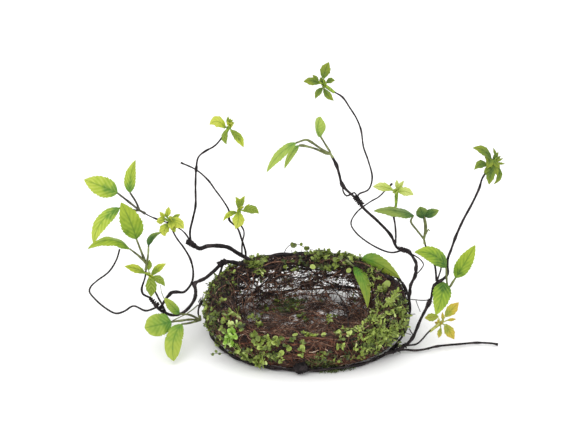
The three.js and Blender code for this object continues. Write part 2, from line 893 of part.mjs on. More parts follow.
const WHORLS = {
  whorl_left_inner: {
    sheath: [
      [172, 228, 43.8],
      [171, 222.4, 45.4],
    ],
    leaves: [
      { tip: [168.7, 207, 50], width: 7, teeth: 2 },
      { tip: [158, 213, 42], width: 7, teeth: 2, turn: 30 },
      { tip: [156, 224, 34], width: 7, teeth: 2, turn: -20 },
      { tip: [165, 237, 36], width: 10, teeth: 2 },
      { tip: [183.5, 227, 38], width: 8, teeth: 2, turn: 20 },
      { tip: [180.5, 214, 53], width: 7, teeth: 2, turn: -30 },
    ],
  },
  whorl_left_low: {
    sheath: [
      [151, 280.5, 10],
      [150, 275.5, 10],
    ],
    leaves: [
      { tip: [124.3, 266, 0], width: 10, teeth: 2, turn: 20 },
      { tip: [167, 263, 14], width: 9, teeth: 2, turn: -20 },
      { tip: [166, 287.5, 2], width: 9, teeth: 2 },
      { tip: [150.2, 297, -3], width: 10, teeth: 2, turn: 15 },
      { tip: [149, 265, 18], width: 6, teeth: 2 },
    ],
  },
  whorl_left_top: {
    sheath: [
      [222.5, 136.6, 50],
      [227.3, 129, 50],
    ],
    leaves: [
      { tip: [209, 123.5, 44], width: 11, teeth: 2, arch: 3 },
      { tip: [227.5, 115.5, 54], width: 7, teeth: 2 },
      { tip: [235, 121.5, 52], width: 6, teeth: 2, turn: 30 },
      { tip: [244, 147, 40], width: 11, teeth: 2, turn: -15 },
      { tip: [227, 145.5, 42], width: 9, teeth: 2, turn: 20 },
    ],
  },
  whorl_middle: {
    sheath: [
      [240.2, 218, 66],
      [239, 209.5, 66],
    ],
    leaves: [
      { tip: [234.5, 196, 70], width: 7, teeth: 2 },
      { tip: [246, 194.5, 70], width: 7, teeth: 2, turn: 20 },
      { tip: [222.5, 212, 56], width: 7, teeth: 2, turn: 30 },
      { tip: [260, 214.5, 58], width: 8, teeth: 2 },
      { tip: [235, 230, 54], width: 15, teeth: 2 },
    ],
  },
  whorl_top: {
    sheath: [
      [332, 90, 40],
      [323.6, 85.5, 40],
    ],
    leaves: [
      { tip: [329.5, 61.5, 46], width: 13, teeth: 2 },
      { tip: [303.3, 82, 34], width: 9, teeth: 2, turn: 20 },
      { tip: [312.5, 74, 46], width: 7, teeth: 2 },
      { tip: [315, 99.5, 32], width: 9, teeth: 2, turn: -20 },
      { tip: [334, 101, 34], width: 9, teeth: 2 },
      { tip: [336, 78, 48], width: 7, teeth: 2, turn: 30 },
    ],
  },
  whorl_right_inner: {
    sheath: [
      [395.6, 205, 16],
      [397.4, 191.7, 18],
    ],
    leaves: [
      { tip: [372.6, 187.5, 10], width: 9, teeth: 2, turn: 15 },
      { tip: [396.4, 179, 24], width: 7, teeth: 2 },
      { tip: [404.5, 180, 24], width: 7, teeth: 2, turn: 20 },
      { tip: [414, 196, 10], width: 11, teeth: 2 },
    ],
  },
  whorl_right_low: {
    sheath: [
      [430, 331, -44.6],
      [440.5, 324, -38],
    ],
    leaves: [
      { tip: [459.5, 302, -28], width: 11, teeth: 2 },
      { tip: [423.5, 319, -46], width: 8, teeth: 2, turn: 20 },
      { tip: [456.5, 317.5, -36], width: 6, teeth: 2 },
      { tip: [455.5, 341, -50], width: 11, teeth: 2, turn: -20 },
      { tip: [438, 339, -54], width: 7, teeth: 2 },
    ],
  },
  whorl_right_top: {
    sheath: [
      [483.5, 176.6, 20],
      [491.5, 160.5, 20],
    ],
    leaves: [
      { tip: [471.5, 148, 12], width: 9, teeth: 2 },
      { tip: [473.5, 170, 8], width: 7, teeth: 2, turn: 20 },
      { tip: [488, 185.5, 10], width: 9, teeth: 2, turn: -20 },
      { tip: [501, 176, 24], width: 8, teeth: 2 },
      { tip: [493.5, 146, 28], width: 7, teeth: 2 },
      { tip: [505, 159, 20], width: 7, teeth: 2, turn: 30 },
    ],
  },
};

for (const [name, leaves] of Object.entries(THREE_LEAF_SPRAYS)) put(name, spray(leaves), LEAF);
for (const [name, leaves] of Object.entries(WHORLS)) put(name, spray(leaves), YOUNG_LEAF);

// Two large leaves tucked into the nest's rim at the back right
const RIM_LEAVES = {
  rim_leaf_outer: {
    sheath: [
      [356, 262, 84],
      [362, 258.5, 84],
    ],
    leaves: [{ tip: [400.5, 278, 36], width: 21, teeth: 5, arch: 3 }],
    sheathRadius: 1.1,
  },
  rim_leaf_inner: {
    sheath: [
      [349, 262.5, 81],
      [353, 264, 75],
    ],
    leaves: [{ tip: [368, 307, 12], width: 19, teeth: 5, arch: 4 }],
    sheathRadius: 1.1,
  },
};
for (const [name, leaf] of Object.entries(RIM_LEAVES)) put(name, spray(leaf), LEAF);

// Baby tears: a thread along the nest's twigs with round leaves on both sides
const THREAD_RADIUS = 0.9;

function garland({ route, leaves, size = 5, sink = 0 }, seed) {
  return (grow) => {
    const random = dice(seed);
    const stops = route.map(([around, about]) => onWall([around, about, HUG + THREAD_RADIUS - sink]));
    const curve = new THREE.CatmullRomCurve3(stops.map(({ place }) => place));
    const normalAt = (t) => stops[Math.round(t * (stops.length - 1))].normal;
    const joints = Array.from({ length: leaves + 1 }, (_, i) => curve.getPointAt(i / leaves));
    const rings = joints.map((place, i) => {
      const along = curve.getTangentAt(i / leaves);
      const side = along.clone().cross(normalAt(i / leaves)).normalize();
      const end = i === 0 ? -grow : i === leaves ? grow : 0;
      const centre = place.clone().addScaledVector(along, end);
      return ringAt(centre, side.clone().cross(along), side, THREAD_RADIUS + grow, 4);
    });
    const thread = sewn(rings);
    const solids = [thread.volume() > 0 ? thread : sewn(rings.reverse())];
    for (let leaf = 0; leaf < leaves; leaf++) {
      const middle = (leaf + 0.5) / leaves;
      const place = joints[leaf].clone().lerp(joints[leaf + 1], 0.5);
      const along = joints[leaf + 1].clone().sub(joints[leaf]).normalize();
      const normal = normalAt(middle);
      const sideways = along.clone().cross(normal).multiplyScalar(leaf % 2 ? 1 : -1);
      const rise = 0.25 + 0.5 * random();
      const out = sideways.multiplyScalar(1 - 0.4 * rise).addScaledVector(normal, rise).normalize();
      const radius = size * (0.85 + 0.3 * random());
      const face = normal.clone().addScaledVector(along, random() - 0.5);
      face.addScaledVector(out, -face.dot(out)).normalize();
      const centre = place.addScaledVector(out, radius - 0.3);
      solids.push(roundLeaf(centre, face, out, radius + grow, BLADE_THICKNESS / 2 + grow));
    }
    return solids;
  };
}

function roundLeaf(centre, face, out, radius, half) {
  const SIDES = 5;
  const side = face.clone().cross(out);
  const top = ringAt(centre.clone().addScaledVector(face, -half), out, side, radius, SIDES, Math.PI);
  const under = ringAt(centre.clone().addScaledVector(face, half), out, side, radius, SIDES, Math.PI);
  const made = sewn([top, under]);
  return made.volume() > 0 ? made : sewn([under, top]);
}

const GARLANDS = {
  baby_tears_left_front: {
    route: [
      [208, -8],
      [214, 18],
      [222, 40],
      [228, 12],
      [236, -12],
      [243, 14],
    ],
    leaves: 11,
    sink: 0.9,
  },
  baby_tears_front: {
    route: [
      [248, -10],
      [253, 20],
      [260, 48],
      [268, 28],
      [276, 46],
      [284, 66],
    ],
    leaves: 10,
  },
  baby_tears_right_front: {
    route: [
      [296, 30],
      [304, 58],
      [313, 82],
      [322, 56],
      [330, 30],
      [338, 52],
    ],
    leaves: 11,
  },
  baby_tears_right: {
    route: [
      [341, 30],
      [347, 60],
      [354, 84],
      [362, 106],
      [370, 122],
      [380, 128],
    ],
    leaves: 9,
  },
  baby_tears_back_right: {
    route: [
      [62, 104],
      [69, 124],
      [76, 102],
      [83, 120],
      [90, 100],
    ],
    leaves: 8,
  },
  baby_tears_back_left: {
    route: [
      [104, 102],
      [111, 118],
      [118, 100],
      [124, 110],
    ],
    leaves: 6,
  },
  baby_tears_left: {
    route: [
      [150, 92],
      [160, 60],
      [170, 84],
      [180, 56],
      [190, 74],
      [199, 44],
    ],
    leaves: 7,
  },
};
let seed = 31;
for (const [name, strand] of Object.entries(GARLANDS)) {
  put(name, garland(strand, seed), BABY_TEARS);
  seed += 1;
}

export default part;
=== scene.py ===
# %% [markdown]
# A twig nest with baby tears and leafy vines
#
# A ring of wound twigs stands on a table. Small round leaves grow over its rim, a dark vine is tied round
# its foot, and wiry vines rise at both sides and carry broad toothed leaves and star-shaped tufts of young
# ones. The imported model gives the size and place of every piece. This lesson gives each piece its look.

import math
import random
from functools import partial

import bpy
from mathutils import Matrix, Vector, noise


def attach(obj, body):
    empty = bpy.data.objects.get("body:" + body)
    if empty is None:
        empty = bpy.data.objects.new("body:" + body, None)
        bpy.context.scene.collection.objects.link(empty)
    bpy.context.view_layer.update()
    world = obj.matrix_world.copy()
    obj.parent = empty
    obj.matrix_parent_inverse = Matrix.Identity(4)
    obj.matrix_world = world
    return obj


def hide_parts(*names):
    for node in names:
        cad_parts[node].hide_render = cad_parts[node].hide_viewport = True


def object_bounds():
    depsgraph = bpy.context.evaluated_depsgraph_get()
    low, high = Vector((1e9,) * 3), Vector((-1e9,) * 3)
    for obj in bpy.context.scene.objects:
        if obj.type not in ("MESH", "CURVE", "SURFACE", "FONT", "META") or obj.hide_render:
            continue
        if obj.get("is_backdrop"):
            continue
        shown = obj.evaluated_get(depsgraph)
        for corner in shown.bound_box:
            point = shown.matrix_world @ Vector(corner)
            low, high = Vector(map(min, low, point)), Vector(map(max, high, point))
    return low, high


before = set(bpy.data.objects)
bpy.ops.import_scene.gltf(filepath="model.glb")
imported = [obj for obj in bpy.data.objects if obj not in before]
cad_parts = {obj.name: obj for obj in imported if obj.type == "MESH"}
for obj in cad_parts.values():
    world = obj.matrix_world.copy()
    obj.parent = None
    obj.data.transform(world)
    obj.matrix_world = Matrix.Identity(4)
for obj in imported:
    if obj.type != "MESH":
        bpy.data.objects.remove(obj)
CAD_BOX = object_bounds()
bpy.ops.object.select_all(action="DESELECT")
print(len(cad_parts), "nodes in the packed model")

# %% [markdown]
# The eye
#
# The vines' places are read from the front, as they fall on a picture 568 wide and 448 high, with a depth
# in millimetres behind the nest's middle. One function turns such a reading into a place in space, and the
# camera stands where that eye stands. A long lens far away keeps the picture almost free of perspective.

# %% Places as the eye sees them
MM = 0.001
UP = Vector((0, 0, 1))
PICTURE_WIDTH = 568
PICTURE_MIDDLE = (284, 224)
PICTURE_SCALE = 1.159 * MM  # what one step of the picture covers at the nest
EYE_ELEVATION = math.radians(26.5)
EYE_DISTANCE = 2500 * MM
AIM_ACROSS = -26 * MM
AIM_UP = 127 * MM

PLANE_UP = Vector((0, math.sin(EYE_ELEVATION), math.cos(EYE_ELEVATION)))
TO_EYE = Vector((0, -math.cos(EYE_ELEVATION), math.sin(EYE_ELEVATION)))
EYE = Vector((AIM_ACROSS, 0, 0)) + PLANE_UP * AIM_UP + TO_EYE * EYE_DISTANCE


def seen(x, y, behind):
    """The place in space that is seen at (x, y), at a depth in millimetres."""
    across = AIM_ACROSS + (x - PICTURE_MIDDLE[0]) * PICTURE_SCALE
    up = AIM_UP + (PICTURE_MIDDLE[1] - y) * PICTURE_SCALE
    on_plane = Vector((across, 0, 0)) + PLANE_UP * up
    reach = (behind * MM - EYE.y) / (on_plane.y - EYE.y)
    return EYE + (on_plane - EYE) * reach


def in_picture(place):
    """Where a place in space is seen in the picture."""
    ray = place - EYE
    on_plane = EYE - ray * (EYE.dot(TO_EYE) / ray.dot(TO_EYE))
    x = (on_plane.x - AIM_ACROSS) / PICTURE_SCALE + PICTURE_MIDDLE[0]
    return x, PICTURE_MIDDLE[1] - (on_plane.dot(PLANE_UP) - AIM_UP) / PICTURE_SCALE


print("the nest's middle is seen at", [round(v) for v in in_picture(Vector((0, 0, 0)))])

# %% Camera
SENSOR_WIDTH = 36
FURTHEST_SEEN = 20


def add_object(name, data):
    """A new object in the scene, left as the only one selected."""
    thing = bpy.data.objects.new(name, data)
    bpy.context.scene.collection.objects.link(thing)
    bpy.ops.object.select_all(action="DESELECT")
    bpy.context.view_layer.objects.active = thing
    thing.select_set(True)
    return thing


camera = add_object("camera", bpy.data.cameras.new("camera"))
camera.location = EYE
camera.rotation_euler = (math.pi / 2 - EYE_ELEVATION, 0, 0)
camera.data.sensor_width = SENSOR_WIDTH
camera.data.lens = SENSOR_WIDTH * EYE_DISTANCE / (PICTURE_WIDTH * PICTURE_SCALE)
camera.data.clip_end = FURTHEST_SEEN
bpy.context.scene.camera = camera
print("lens of", round(camera.data.lens), "mm")

# %% [markdown]
# Floor and light
#
# The nest stands on a plain white table in soft light from all round. One broad light hangs above it on the
# left, and a weaker one stands on the right. The table is a plane so wide that the camera never sees its
# edge. Colours are shown as they are, with the plain view, because the usual one would dull the fresh greens.

# %% Table and lamps
TABLE_SIZE = 30
LIT_PLACE = Vector((0, 0, 0.08))
KEY_POWER = 12
FILL_POWER = 4
LIGHT_ALL_ROUND = 1.18

bpy.ops.object.select_all(action="DESELECT")
bpy.ops.mesh.primitive_plane_add(size=TABLE_SIZE, location=(0, 0, 0))
table = bpy.context.object
table.name = "table"
table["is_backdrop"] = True
bpy.context.scene.view_settings.view_transform = "Standard"


def softbox(name, place, size, power):
    lamp = add_object(name, bpy.data.lights.new(name, "AREA"))
    lamp.location = place
    lamp.rotation_euler = (LIT_PLACE - Vector(place)).to_track_quat("-Z", "Y").to_euler()
    lamp.data.size = size
    lamp.data.energy = power


softbox("key", (-0.9, -1.3, 2.0), 1.4, KEY_POWER)
softbox("fill", (1.6, -0.9, 1.3), 1.6, FILL_POWER)
world = bpy.data.worlds.new("studio")
world.use_nodes = True
sky = world.node_tree.nodes["Background"]
sky.inputs["Color"].default_value = (1, 1, 1, 1)
sky.inputs["Strength"].default_value = LIGHT_ALL_ROUND
bpy.context.scene.world = world
print("a key light of", KEY_POWER, "W and a fill of", FILL_POWER, "W")

# %% [markdown]
# Materials
#
# Each material is named for the real stuff. Colours are the ones an eye would pick from a colour chart, and
# one function turns them into the linear values that light is worked out with. A second function adds a
# node with its settings, its links and, where it is a colour ramp, its stops.

# %% Colour and node helpers
def linear(code):
    """The linear colour of an sRGB hex code."""
    parts = [int(code[i : i + 2], 16) / 255 for i in (1, 3, 5)]
    return tuple(v / 12.92 if v <= 0.04045 else ((v + 0.055) / 1.055) ** 2.4 for v in parts) + (1,)


def new_material(name, roughness, specular):
    material = bpy.data.materials.new(name)
    material.use_nodes = True
    shader = material.node_tree.nodes["Principled BSDF"]
    shader.inputs["Roughness"].default_value = roughness
    shader.inputs["Specular IOR Level"].default_value = specular
    return material, shader


def add_node(material, kind, inputs=(), stops=(), **settings):
    """A new node. An input is a value, a node's output, or a node whose first output is meant."""
    node = material.node_tree.nodes.new("ShaderNode" + kind)
    for key, value in settings.items():
        setattr(node, key, value)
    for key, value in inputs.items() if isinstance(inputs, dict) else enumerate(inputs):
        if isinstance(value, bpy.types.Node):
            value = value.outputs[0]
        if isinstance(value, bpy.types.NodeSocket):
            material.node_tree.links.new(value, node.inputs[key])
        else:
            node.inputs[key].default_value = value
    for _ in stops[2:]:
        node.color_ramp.elements.new(0.5)
    for element, (position, code) in zip(node.color_ramp.elements if stops else (), stops):
        element.position = position
        element.color = linear(code)
    return node


def join_to(material, output, socket):
    material.node_tree.links.new(output, socket)


print("a middle grey of 128 is", round(linear("#808080")[0], 3), "as light")

# %% [markdown]
# Dead twigs are dry bark: matt, brown to nearly black, and no two alike. Patches 4 to 12 mm across change
# the colour from twig to twig, and a fine bump of 0.5 mm roughens each one. The same bark, in greens, covers
# stalks, sheaths and moss.

# %% Bark of the nest's twigs
BARK_GRAIN = 0.5 * MM
BARK_RELIEF = 0.2 * MM


def bark(name, dark, middle, pale, patch_mm=9):
    material, shader = new_material(name, 0.8, 0.25)
    add = partial(add_node, material)
    place = add("TexCoord").outputs["Object"]
    patches = add("TexNoise", {"Vector": place, "Scale": 1 / (patch_mm * MM), "Detail": 3, "Roughness": 0.6})
    colour = add("ValToRGB", (patches,), [(0.35, dark), (0.52, middle), (0.68, pale)])
    join_to(material, colour.outputs["Color"], shader.inputs["Base Color"])
    grain = add("TexNoise", {"Vector": place, "Scale": 1 / BARK_GRAIN, "Detail": 2})
    bump = add("Bump", {"Height": grain.outputs[0], "Strength": 0.5, "Distance": BARK_RELIEF})
    join_to(material, bump.outputs["Normal"], shader.inputs["Normal"])
    return material


BROWN_TWIG = bark("dry_brown_twig", "#261c1a", "#4f3b34", "#7a6052")
RED_TWIG = bark("dry_red_twig", "#381f19", "#6a4030", "#99664c")
GREY_TWIG = bark("weathered_grey_twig", "#332a28", "#5b4c46", "#8a7a70")
TAN_TWIG = bark("dry_tan_twig", "#5a3e30", "#8a6450", "#b3927a", patch_mm=6)
PALE_TWIG = bark("stripped_pale_twig", "#8a6f5c", "#b39a84", "#d8c8b4", patch_mm=4)
VINE_BARK = bark("dark_vine_bark", "#131011", "#262022", "#3d3435", patch_mm=6)
WIRE_BARK = bark("thin_vine_bark", "#1e1a1b", "#383233", "#575052", patch_mm=12)
UMBER_TWIG = bark("dry_umber_twig", "#2c1f19", "#563f34", "#7d5f4e", patch_mm=7)
print("eight barks")

# %% [markdown]
# A broad leaf is soft printed cloth, deep green round its stalk and yellow green over the rest. A dark midrib
# runs up the middle, side veins leave it on a slant, and the cloth between them is paler: a painted
# highlight, as if light caught it. The leaf's own map places all this: its first number runs from the stalk
# to the tip, and its second from one edge to the other. A mottle 9 mm across and the leaf's own tint make
# the green uneven.

# %% Leaf cloth
MOTTLE_SIZE = 9 * MM
MOTTLE_SHARE = 1.1
EDGE_SHARE = 0.6
TINT_SHARE = 0.3
SLANT = 0.75
SIDE_VEIN_NARROWNESS = 5.5
SIDE_VEIN_SHARE = 0.32
MIDRIB_NARROWNESS = 18
VEIN_DARKNESS = 0.62
# How strongly the painted highlight between the veins shows
HIGHLIGHT_SHARE = 0.95
VEIN_RELIEF = 0.5 * MM


def leaf_cloth(name, base_green, middle_green, tip_green, vein, highlight, veins=6):
    material, shader = new_material(name, 0.5, 0.3)
    add = partial(add_node, material)
    split = add("SeparateXYZ", (add("UVMap", uv_map="UVMap"),))
    along = split.outputs["X"]
    aside = add("Math", (split.outputs["Y"], 0.5), operation="SUBTRACT")
    aside = add("Math", (aside,), operation="ABSOLUTE")
    place = add("TexCoord").outputs["Object"]
    mottle = add("TexNoise", {"Vector": place, "Scale": 1 / MOTTLE_SIZE, "Detail": 3})
    tint = add("Attribute", attribute_name="tint").outputs["Fac"]

    yellower = add("Math", (along, -0.5 * MOTTLE_SHARE - 0.16 * EDGE_SHARE), operation="ADD")
    for cause, share in ((mottle, MOTTLE_SHARE), (aside, EDGE_SHARE), (tint, TINT_SHARE)):
        yellower = add("Math", (cause, share, yellower), operation="MULTIPLY_ADD")
    green = add("ValToRGB", (yellower,), [(0.05, base_green), (0.4, middle_green), (0.9, tip_green)])

    rows = add("Math", (aside, -SLANT, along), operation="MULTIPLY_ADD")
    rows = add("Math", (rows, veins), operation="MULTIPLY")
    rows = add("Math", (rows,), operation="FRACT")
    from_vein = add("Math", (rows, 0.5), operation="SUBTRACT")
    from_vein = add("Math", (from_vein,), operation="ABSOLUTE")
    side_vein = add("Math", (from_vein, -SIDE_VEIN_NARROWNESS, 1), operation="MULTIPLY_ADD", use_clamp=True)
    side_vein = add("Math", (side_vein, SIDE_VEIN_SHARE), operation="MULTIPLY")
    midrib = add("Math", (aside, -MIDRIB_NARROWNESS, 1), operation="MULTIPLY_ADD", use_clamp=True)
    lines = add("Math", (side_vein, midrib), operation="MAXIMUM")
    # Painted highlight: between the side veins the cloth is mixed towards a paler green, as if light caught it
    between = add("Math", (from_vein, 2.2, -0.45), operation="MULTIPLY_ADD", use_clamp=True)
    between = add("Math", (between, mottle), operation="MULTIPLY")
    between = add("Math", (between, HIGHLIGHT_SHARE), operation="MULTIPLY", use_clamp=True)
    highlighted = add("Mix", {0: between, 6: green, 7: linear(highlight)}, data_type="RGBA")
    drawn = add("Math", (lines, VEIN_DARKNESS), operation="MULTIPLY")
    veined = add("Mix", {0: drawn, 6: highlighted.outputs[2], 7: linear(vein)}, data_type="RGBA")
    join_to(material, veined.outputs[2], shader.inputs["Base Color"])
    bump = add("Bump", {"Height": lines, "Strength": 0.6, "Distance": VEIN_RELIEF}, invert=True)
    join_to(material, bump.outputs["Normal"], shader.inputs["Normal"])
    return material


# The last colour of each cloth is its painted highlight
BROAD_LEAF = leaf_cloth("printed_leaf_cloth", "#568428", "#97ae32", "#aebc42", "#557c20", "#c6d070")
# A darker copy of the printed cloth, for leaves in shade: painted shade
MID_LEAF = leaf_cloth("leaf_cloth_in_shade", "#335e14", "#709120", "#94a82c", "#42681a", "#a6b840")
RIM_LEAF = leaf_cloth("fresh_green_leaf_cloth", "#46801a", "#688a24", "#8a9a32", "#42701a", "#82a03c")
DARK_LEAF = leaf_cloth("deep_green_leaf_cloth", "#244a1a", "#3f6224", "#7c8e3c", "#25481a", "#6c8642")
FOOT_LEAF = leaf_cloth("mid_green_leaf_cloth", "#49782a", "#71922e", "#9aaa3c", "#47701f", "#9fb458")
SOFT_LEAF = leaf_cloth("soft_green_leaf_cloth", "#5e8834", "#86a040", "#9aae4a", "#5c8434", "#a8ba62")
PALE_LEAF = leaf_cloth("pale_young_leaf_cloth", "#869a38", "#a4b44c", "#b8c268", "#74862c", "#c8d48a", 5)
YOUNG_LEAF = leaf_cloth("young_leaf_cloth", "#6a821e", "#a2b02c", "#b8bf48", "#667c1e", "#c6cc60", 5)
OLIVE_LEAF = leaf_cloth("olive_leaf_cloth", "#3c5818", "#5a7220", "#7c8a24", "#38501a", "#869432", 5)
YELLOW_LEAF = leaf_cloth("turning_leaf_cloth", "#7f8e2a", "#a69e2e", "#b89e38", "#81721e", "#c2b454", 5)
print("ten leaf cloths")

# %% [markdown]
# Baby tears are moulded in soft plastic. Every little leaf carries a number, its tint, that picks its green
# from deep to pale. Its middle is a little darker and its rim paler, painted light where the thin plastic
# lets light through, and a mottle 3 mm across makes it uneven.

# %% Moulded green plastic
PLASTIC_MOTTLE = 3 * MM


def moulded_green(name, stops):
    material, shader = new_material(name, 0.45, 0.4)
    add = partial(add_node, material)
    tint = add("Attribute", attribute_name="tint").outputs["Fac"]
    flat = add("UVMap", uv_map="UVMap")
    from_middle = add("VectorMath", (flat, (0.5, 0.5, 0)), operation="DISTANCE").outputs["Value"]
    place = add("TexCoord").outputs["Object"]
    mottle = add("TexNoise", {"Vector": place, "Scale": 1 / PLASTIC_MOTTLE, "Detail": 1})
    # The rim's paler green is painted light through the thin plastic; tint and mottle are the leaf's own
    paler = add("Math", (tint, -0.2), operation="ADD")
    for cause, share in ((from_middle, 0.3), (mottle, 0.24)):
        paler = add("Math", (cause, share, paler), operation="MULTIPLY_ADD")
    green = add("ValToRGB", (paler,), stops)
    join_to(material, green.outputs["Color"], shader.inputs["Base Color"])
    return material


ROUND_LEAF = moulded_green(
    "moulded_round_leaf",
    [(0.0, "#303a1c"), (0.3, "#5f6e2e"), (0.62, "#8a9c42"), (0.85, "#a6b85a"), (1.0, "#bfcd80")],
)
BRIGHT_ROUND_LEAF = moulded_green(
    "bright_round_leaf",
    [(0.0, "#35521c"), (0.3, "#5c8424"), (0.62, "#82ac34"), (0.85, "#a2c458"), (1.0, "#c4da8c")],
)
GREEN_STALK = bark("grey_green_stalk", "#4b4f36", "#6b7146", "#8c9664", patch_mm=8)
GREY_STALK = bark("dark_grey_stalk", "#33322e", "#504f46", "#6f6e60", patch_mm=8)
SHEATH_GREEN = bark("leaf_sheath_green", "#5d7424", "#7f9a34", "#a3b64e", patch_mm=5)
SHEATH_YELLOW = bark("leaf_sheath_yellow", "#84893c", "#a8aa58", "#c4c684", patch_mm=5)
MOSS_GREEN = bark("dry_moss", "#2f381c", "#566434", "#88965a", patch_mm=4)
print("two moulded greens, two stalks, two sheaths and a moss")

# %% [markdown]
# The table is matt and white, so it takes soft shadows and no shine.

# %% White table
table_white, table_shader = new_material("matt_white_table", 0.9, 0.1)
table_shader.inputs["Base Color"].default_value = linear("#fdfdfd")
table.data.materials.append(table_white)
print("the table is", table_white.name)

# %% [markdown]
# Twigs and vines
#
# A twig is a round rod along a bent line. Blender draws such a rod by itself: a curve with a bevel, whose
# points each carry their own radius. A vine's route is first smoothed through its points, and each curve is
# turned into a mesh at the end, so that it stays as it is.

# %% Smooth routes
def on_line(a, b, start, end, time):
    """The place at a time on the straight line that passes a at the start and b at the end."""
    return a + (b - a) * ((time - start) / (end - start))


def smooth(points, spacing, closed=False):
    """Places about every spacing metres on a smooth line through the points."""
    if closed:
        padded = [points[-1], *points, points[0], points[1]]
    else:
        padded = [points[0] * 2 - points[1], *points, points[-1] * 2 - points[-2]]
    line = []
    for a, b, c, d in zip(padded, padded[1:], padded[2:], padded[3:]):
        times = [0.0]
        for p, q in ((a, b), (b, c), (c, d)):
            times.append(times[-1] + max((q - p).length, 1e-6) ** 0.5)
        t0, t1, t2, t3 = times
        steps = max(1, round((c - b).length / spacing))
        for i in range(steps):
            time = t1 + (t2 - t1) * i / steps
            ab = on_line(a, b, t0, t1, time)
            bc = on_line(b, c, t1, t2, time)
            cd = on_line(c, d, t2, t3, time)
            abc = on_line(ab, bc, t0, t2, time)
            bcd = on_line(bc, cd, t1, t3, time)
            line.append(on_line(abc, bcd, t1, t2, time))
    return line + [points[0 if closed else -1].copy()]


print(len(smooth([seen(0, 0, 0), seen(9, 0, 0), seen(9, 9, 0)], MM)), "places round a small corner")

# %% Rods
def rods(name, strands, material, detail=0):
    """One mesh of round rods. A strand is a list of (place, radius)."""
    curve = bpy.data.curves.new(name, "CURVE")
    curve.dimensions = "3D"
    curve.bevel_depth = 1
    curve.bevel_resolution = detail
    curve.use_fill_caps = True
    for strand in strands:
        spline = curve.splines.new("POLY")
        spline.points.add(len(strand) - 1)
        spline.points.foreach_set("co", [v for place, _ in strand for v in (*place, 1)])
        spline.points.foreach_set("radius", [radius for _, radius in strand])
    add_object(name, curve)
    bpy.ops.object.convert(target="MESH")
    piece = bpy.context.object
    piece.data.materials.clear()
    piece.data.materials.append(material)
    return piece


def finish_piece(piece, slot, *nodes):
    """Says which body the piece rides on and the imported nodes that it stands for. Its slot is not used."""
    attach(piece, "root")
    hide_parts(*nodes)
    print(piece.name, len(piece.data.polygons), "faces")


# %% [markdown]
# The nest's wall
#
# The wall is a ring of twigs. Its section is an oval that leans outwards, and every twig of it can be
# placed by two angles: how far it is round the nest, and how far it is round that section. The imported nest
# is made the same way from a few thick twigs, so the fine ones here lie where it lies.

# %% Places on the wall
RING_HALF_WIDTH = 97 * MM
RING_HALF_BACK = 91 * MM
RING_HALF_FRONT = 79 * MM
FRONT_DROP = 0.24
RING_SQUARENESS = 2.3
WALL_MIDDLE_HEIGHT = 27 * MM
WALL_HALF_HEIGHT = 25 * MM
WALL_HALF_THICKNESS = 15 * MM
WALL_LEAN = math.radians(20)


def plan_reach(radial):
    """How far from the nest's middle the middle of its wall is, that way."""
    half_depth = RING_HALF_FRONT if radial.y < 0 else RING_HALF_BACK
    width = (abs(radial.x) / RING_HALF_WIDTH) ** RING_SQUARENESS
    depth = (abs(radial.y) / half_depth) ** RING_SQUARENESS
    return (width + depth) ** (-1 / RING_SQUARENESS)


def height_share(radial):
    """How high the wall is there, as a share of its height at the back."""
    return 1 - FRONT_DROP * max(0.0, -radial.y) ** 2


def on_wall(around, about, lift=0.0):
    """A place on the wall and the way out of it. Angles are in degrees and lift in metres."""
    radial = Vector((math.cos(math.radians(around)), math.sin(math.radians(around)), 0))
    out = radial * math.cos(WALL_LEAN) - UP * math.sin(WALL_LEAN)
    up = radial * math.sin(WALL_LEAN) + UP * math.cos(WALL_LEAN)
    c = math.cos(math.radians(about))
    s = math.sin(math.radians(about))
    normal = (out * (c / WALL_HALF_THICKNESS) + up * (s / WALL_HALF_HEIGHT)).normalized()
    place = radial * plan_reach(radial) + UP * WALL_MIDDLE_HEIGHT
    place += out * (c * WALL_HALF_THICKNESS) + up * (s * WALL_HALF_HEIGHT)
    place.z *= height_share(radial)
    return place + normal * lift, normal


crest = on_wall(270, 90)[0]
print("the rim is", round(crest.z / MM), "mm high in front")

# %% [markdown]
# The wall runs down into a thin floor. Cut through from the rim to the middle, the whole nest is one line,
# and a twig may wander anywhere on the surface that this line sweeps. So the next cell keeps the line as
# points, how far out from the wall's middle and how high, and finds the nearest place on it.

# %% The nest's profile
WALL_ANGLES = range(-72, 236, 22)
FLOOR_PROFILE = [(-24 * MM, 5 * MM), (-36 * MM, 2.6 * MM), (-97 * MM, 2.2 * MM)]
PROFILE = []
for about in WALL_ANGLES:
    spot = on_wall(0, about)[0]
    PROFILE.append((spot.x - plan_reach(Vector((1, 0, 0))), spot.z))
PROFILE += FLOOR_PROFILE


def onto_nest(place, lift):
    """The nearest place on the nest's surface, raised by lift, and the way out of it there."""
    level = Vector((place.x, place.y, 0))
    radial = level.normalized() if level.length > 1e-6 else Vector((1, 0, 0))
    reach = plan_reach(radial)
    share_there = height_share(radial)
    out, high = level.length - reach, place.z / share_there
    best = None
    for (a, b), (c, d) in zip(PROFILE, PROFILE[1:]):
        run, rise = c - a, d - b
        share = ((out - a) * run + (high - b) * rise) / (run * run + rise * rise)
        share = min(1.0, max(0.0, share))
        near_out, near_high = a + run * share, b + rise * share
        gap = (near_out - out) ** 2 + (near_high - high) ** 2
        if best is None or gap < best[0]:
            size = math.hypot(run, rise)
            best = (gap, near_out, near_high, rise / size, -run / size)
    _, near_out, near_high, normal_out, normal_up = best
    normal = radial * normal_out + UP * normal_up
    return radial * (reach + near_out) + UP * (near_high * share_there) + normal * lift, normal


print(len(PROFILE), "points from the wall's foot over the rim to the floor's middle")

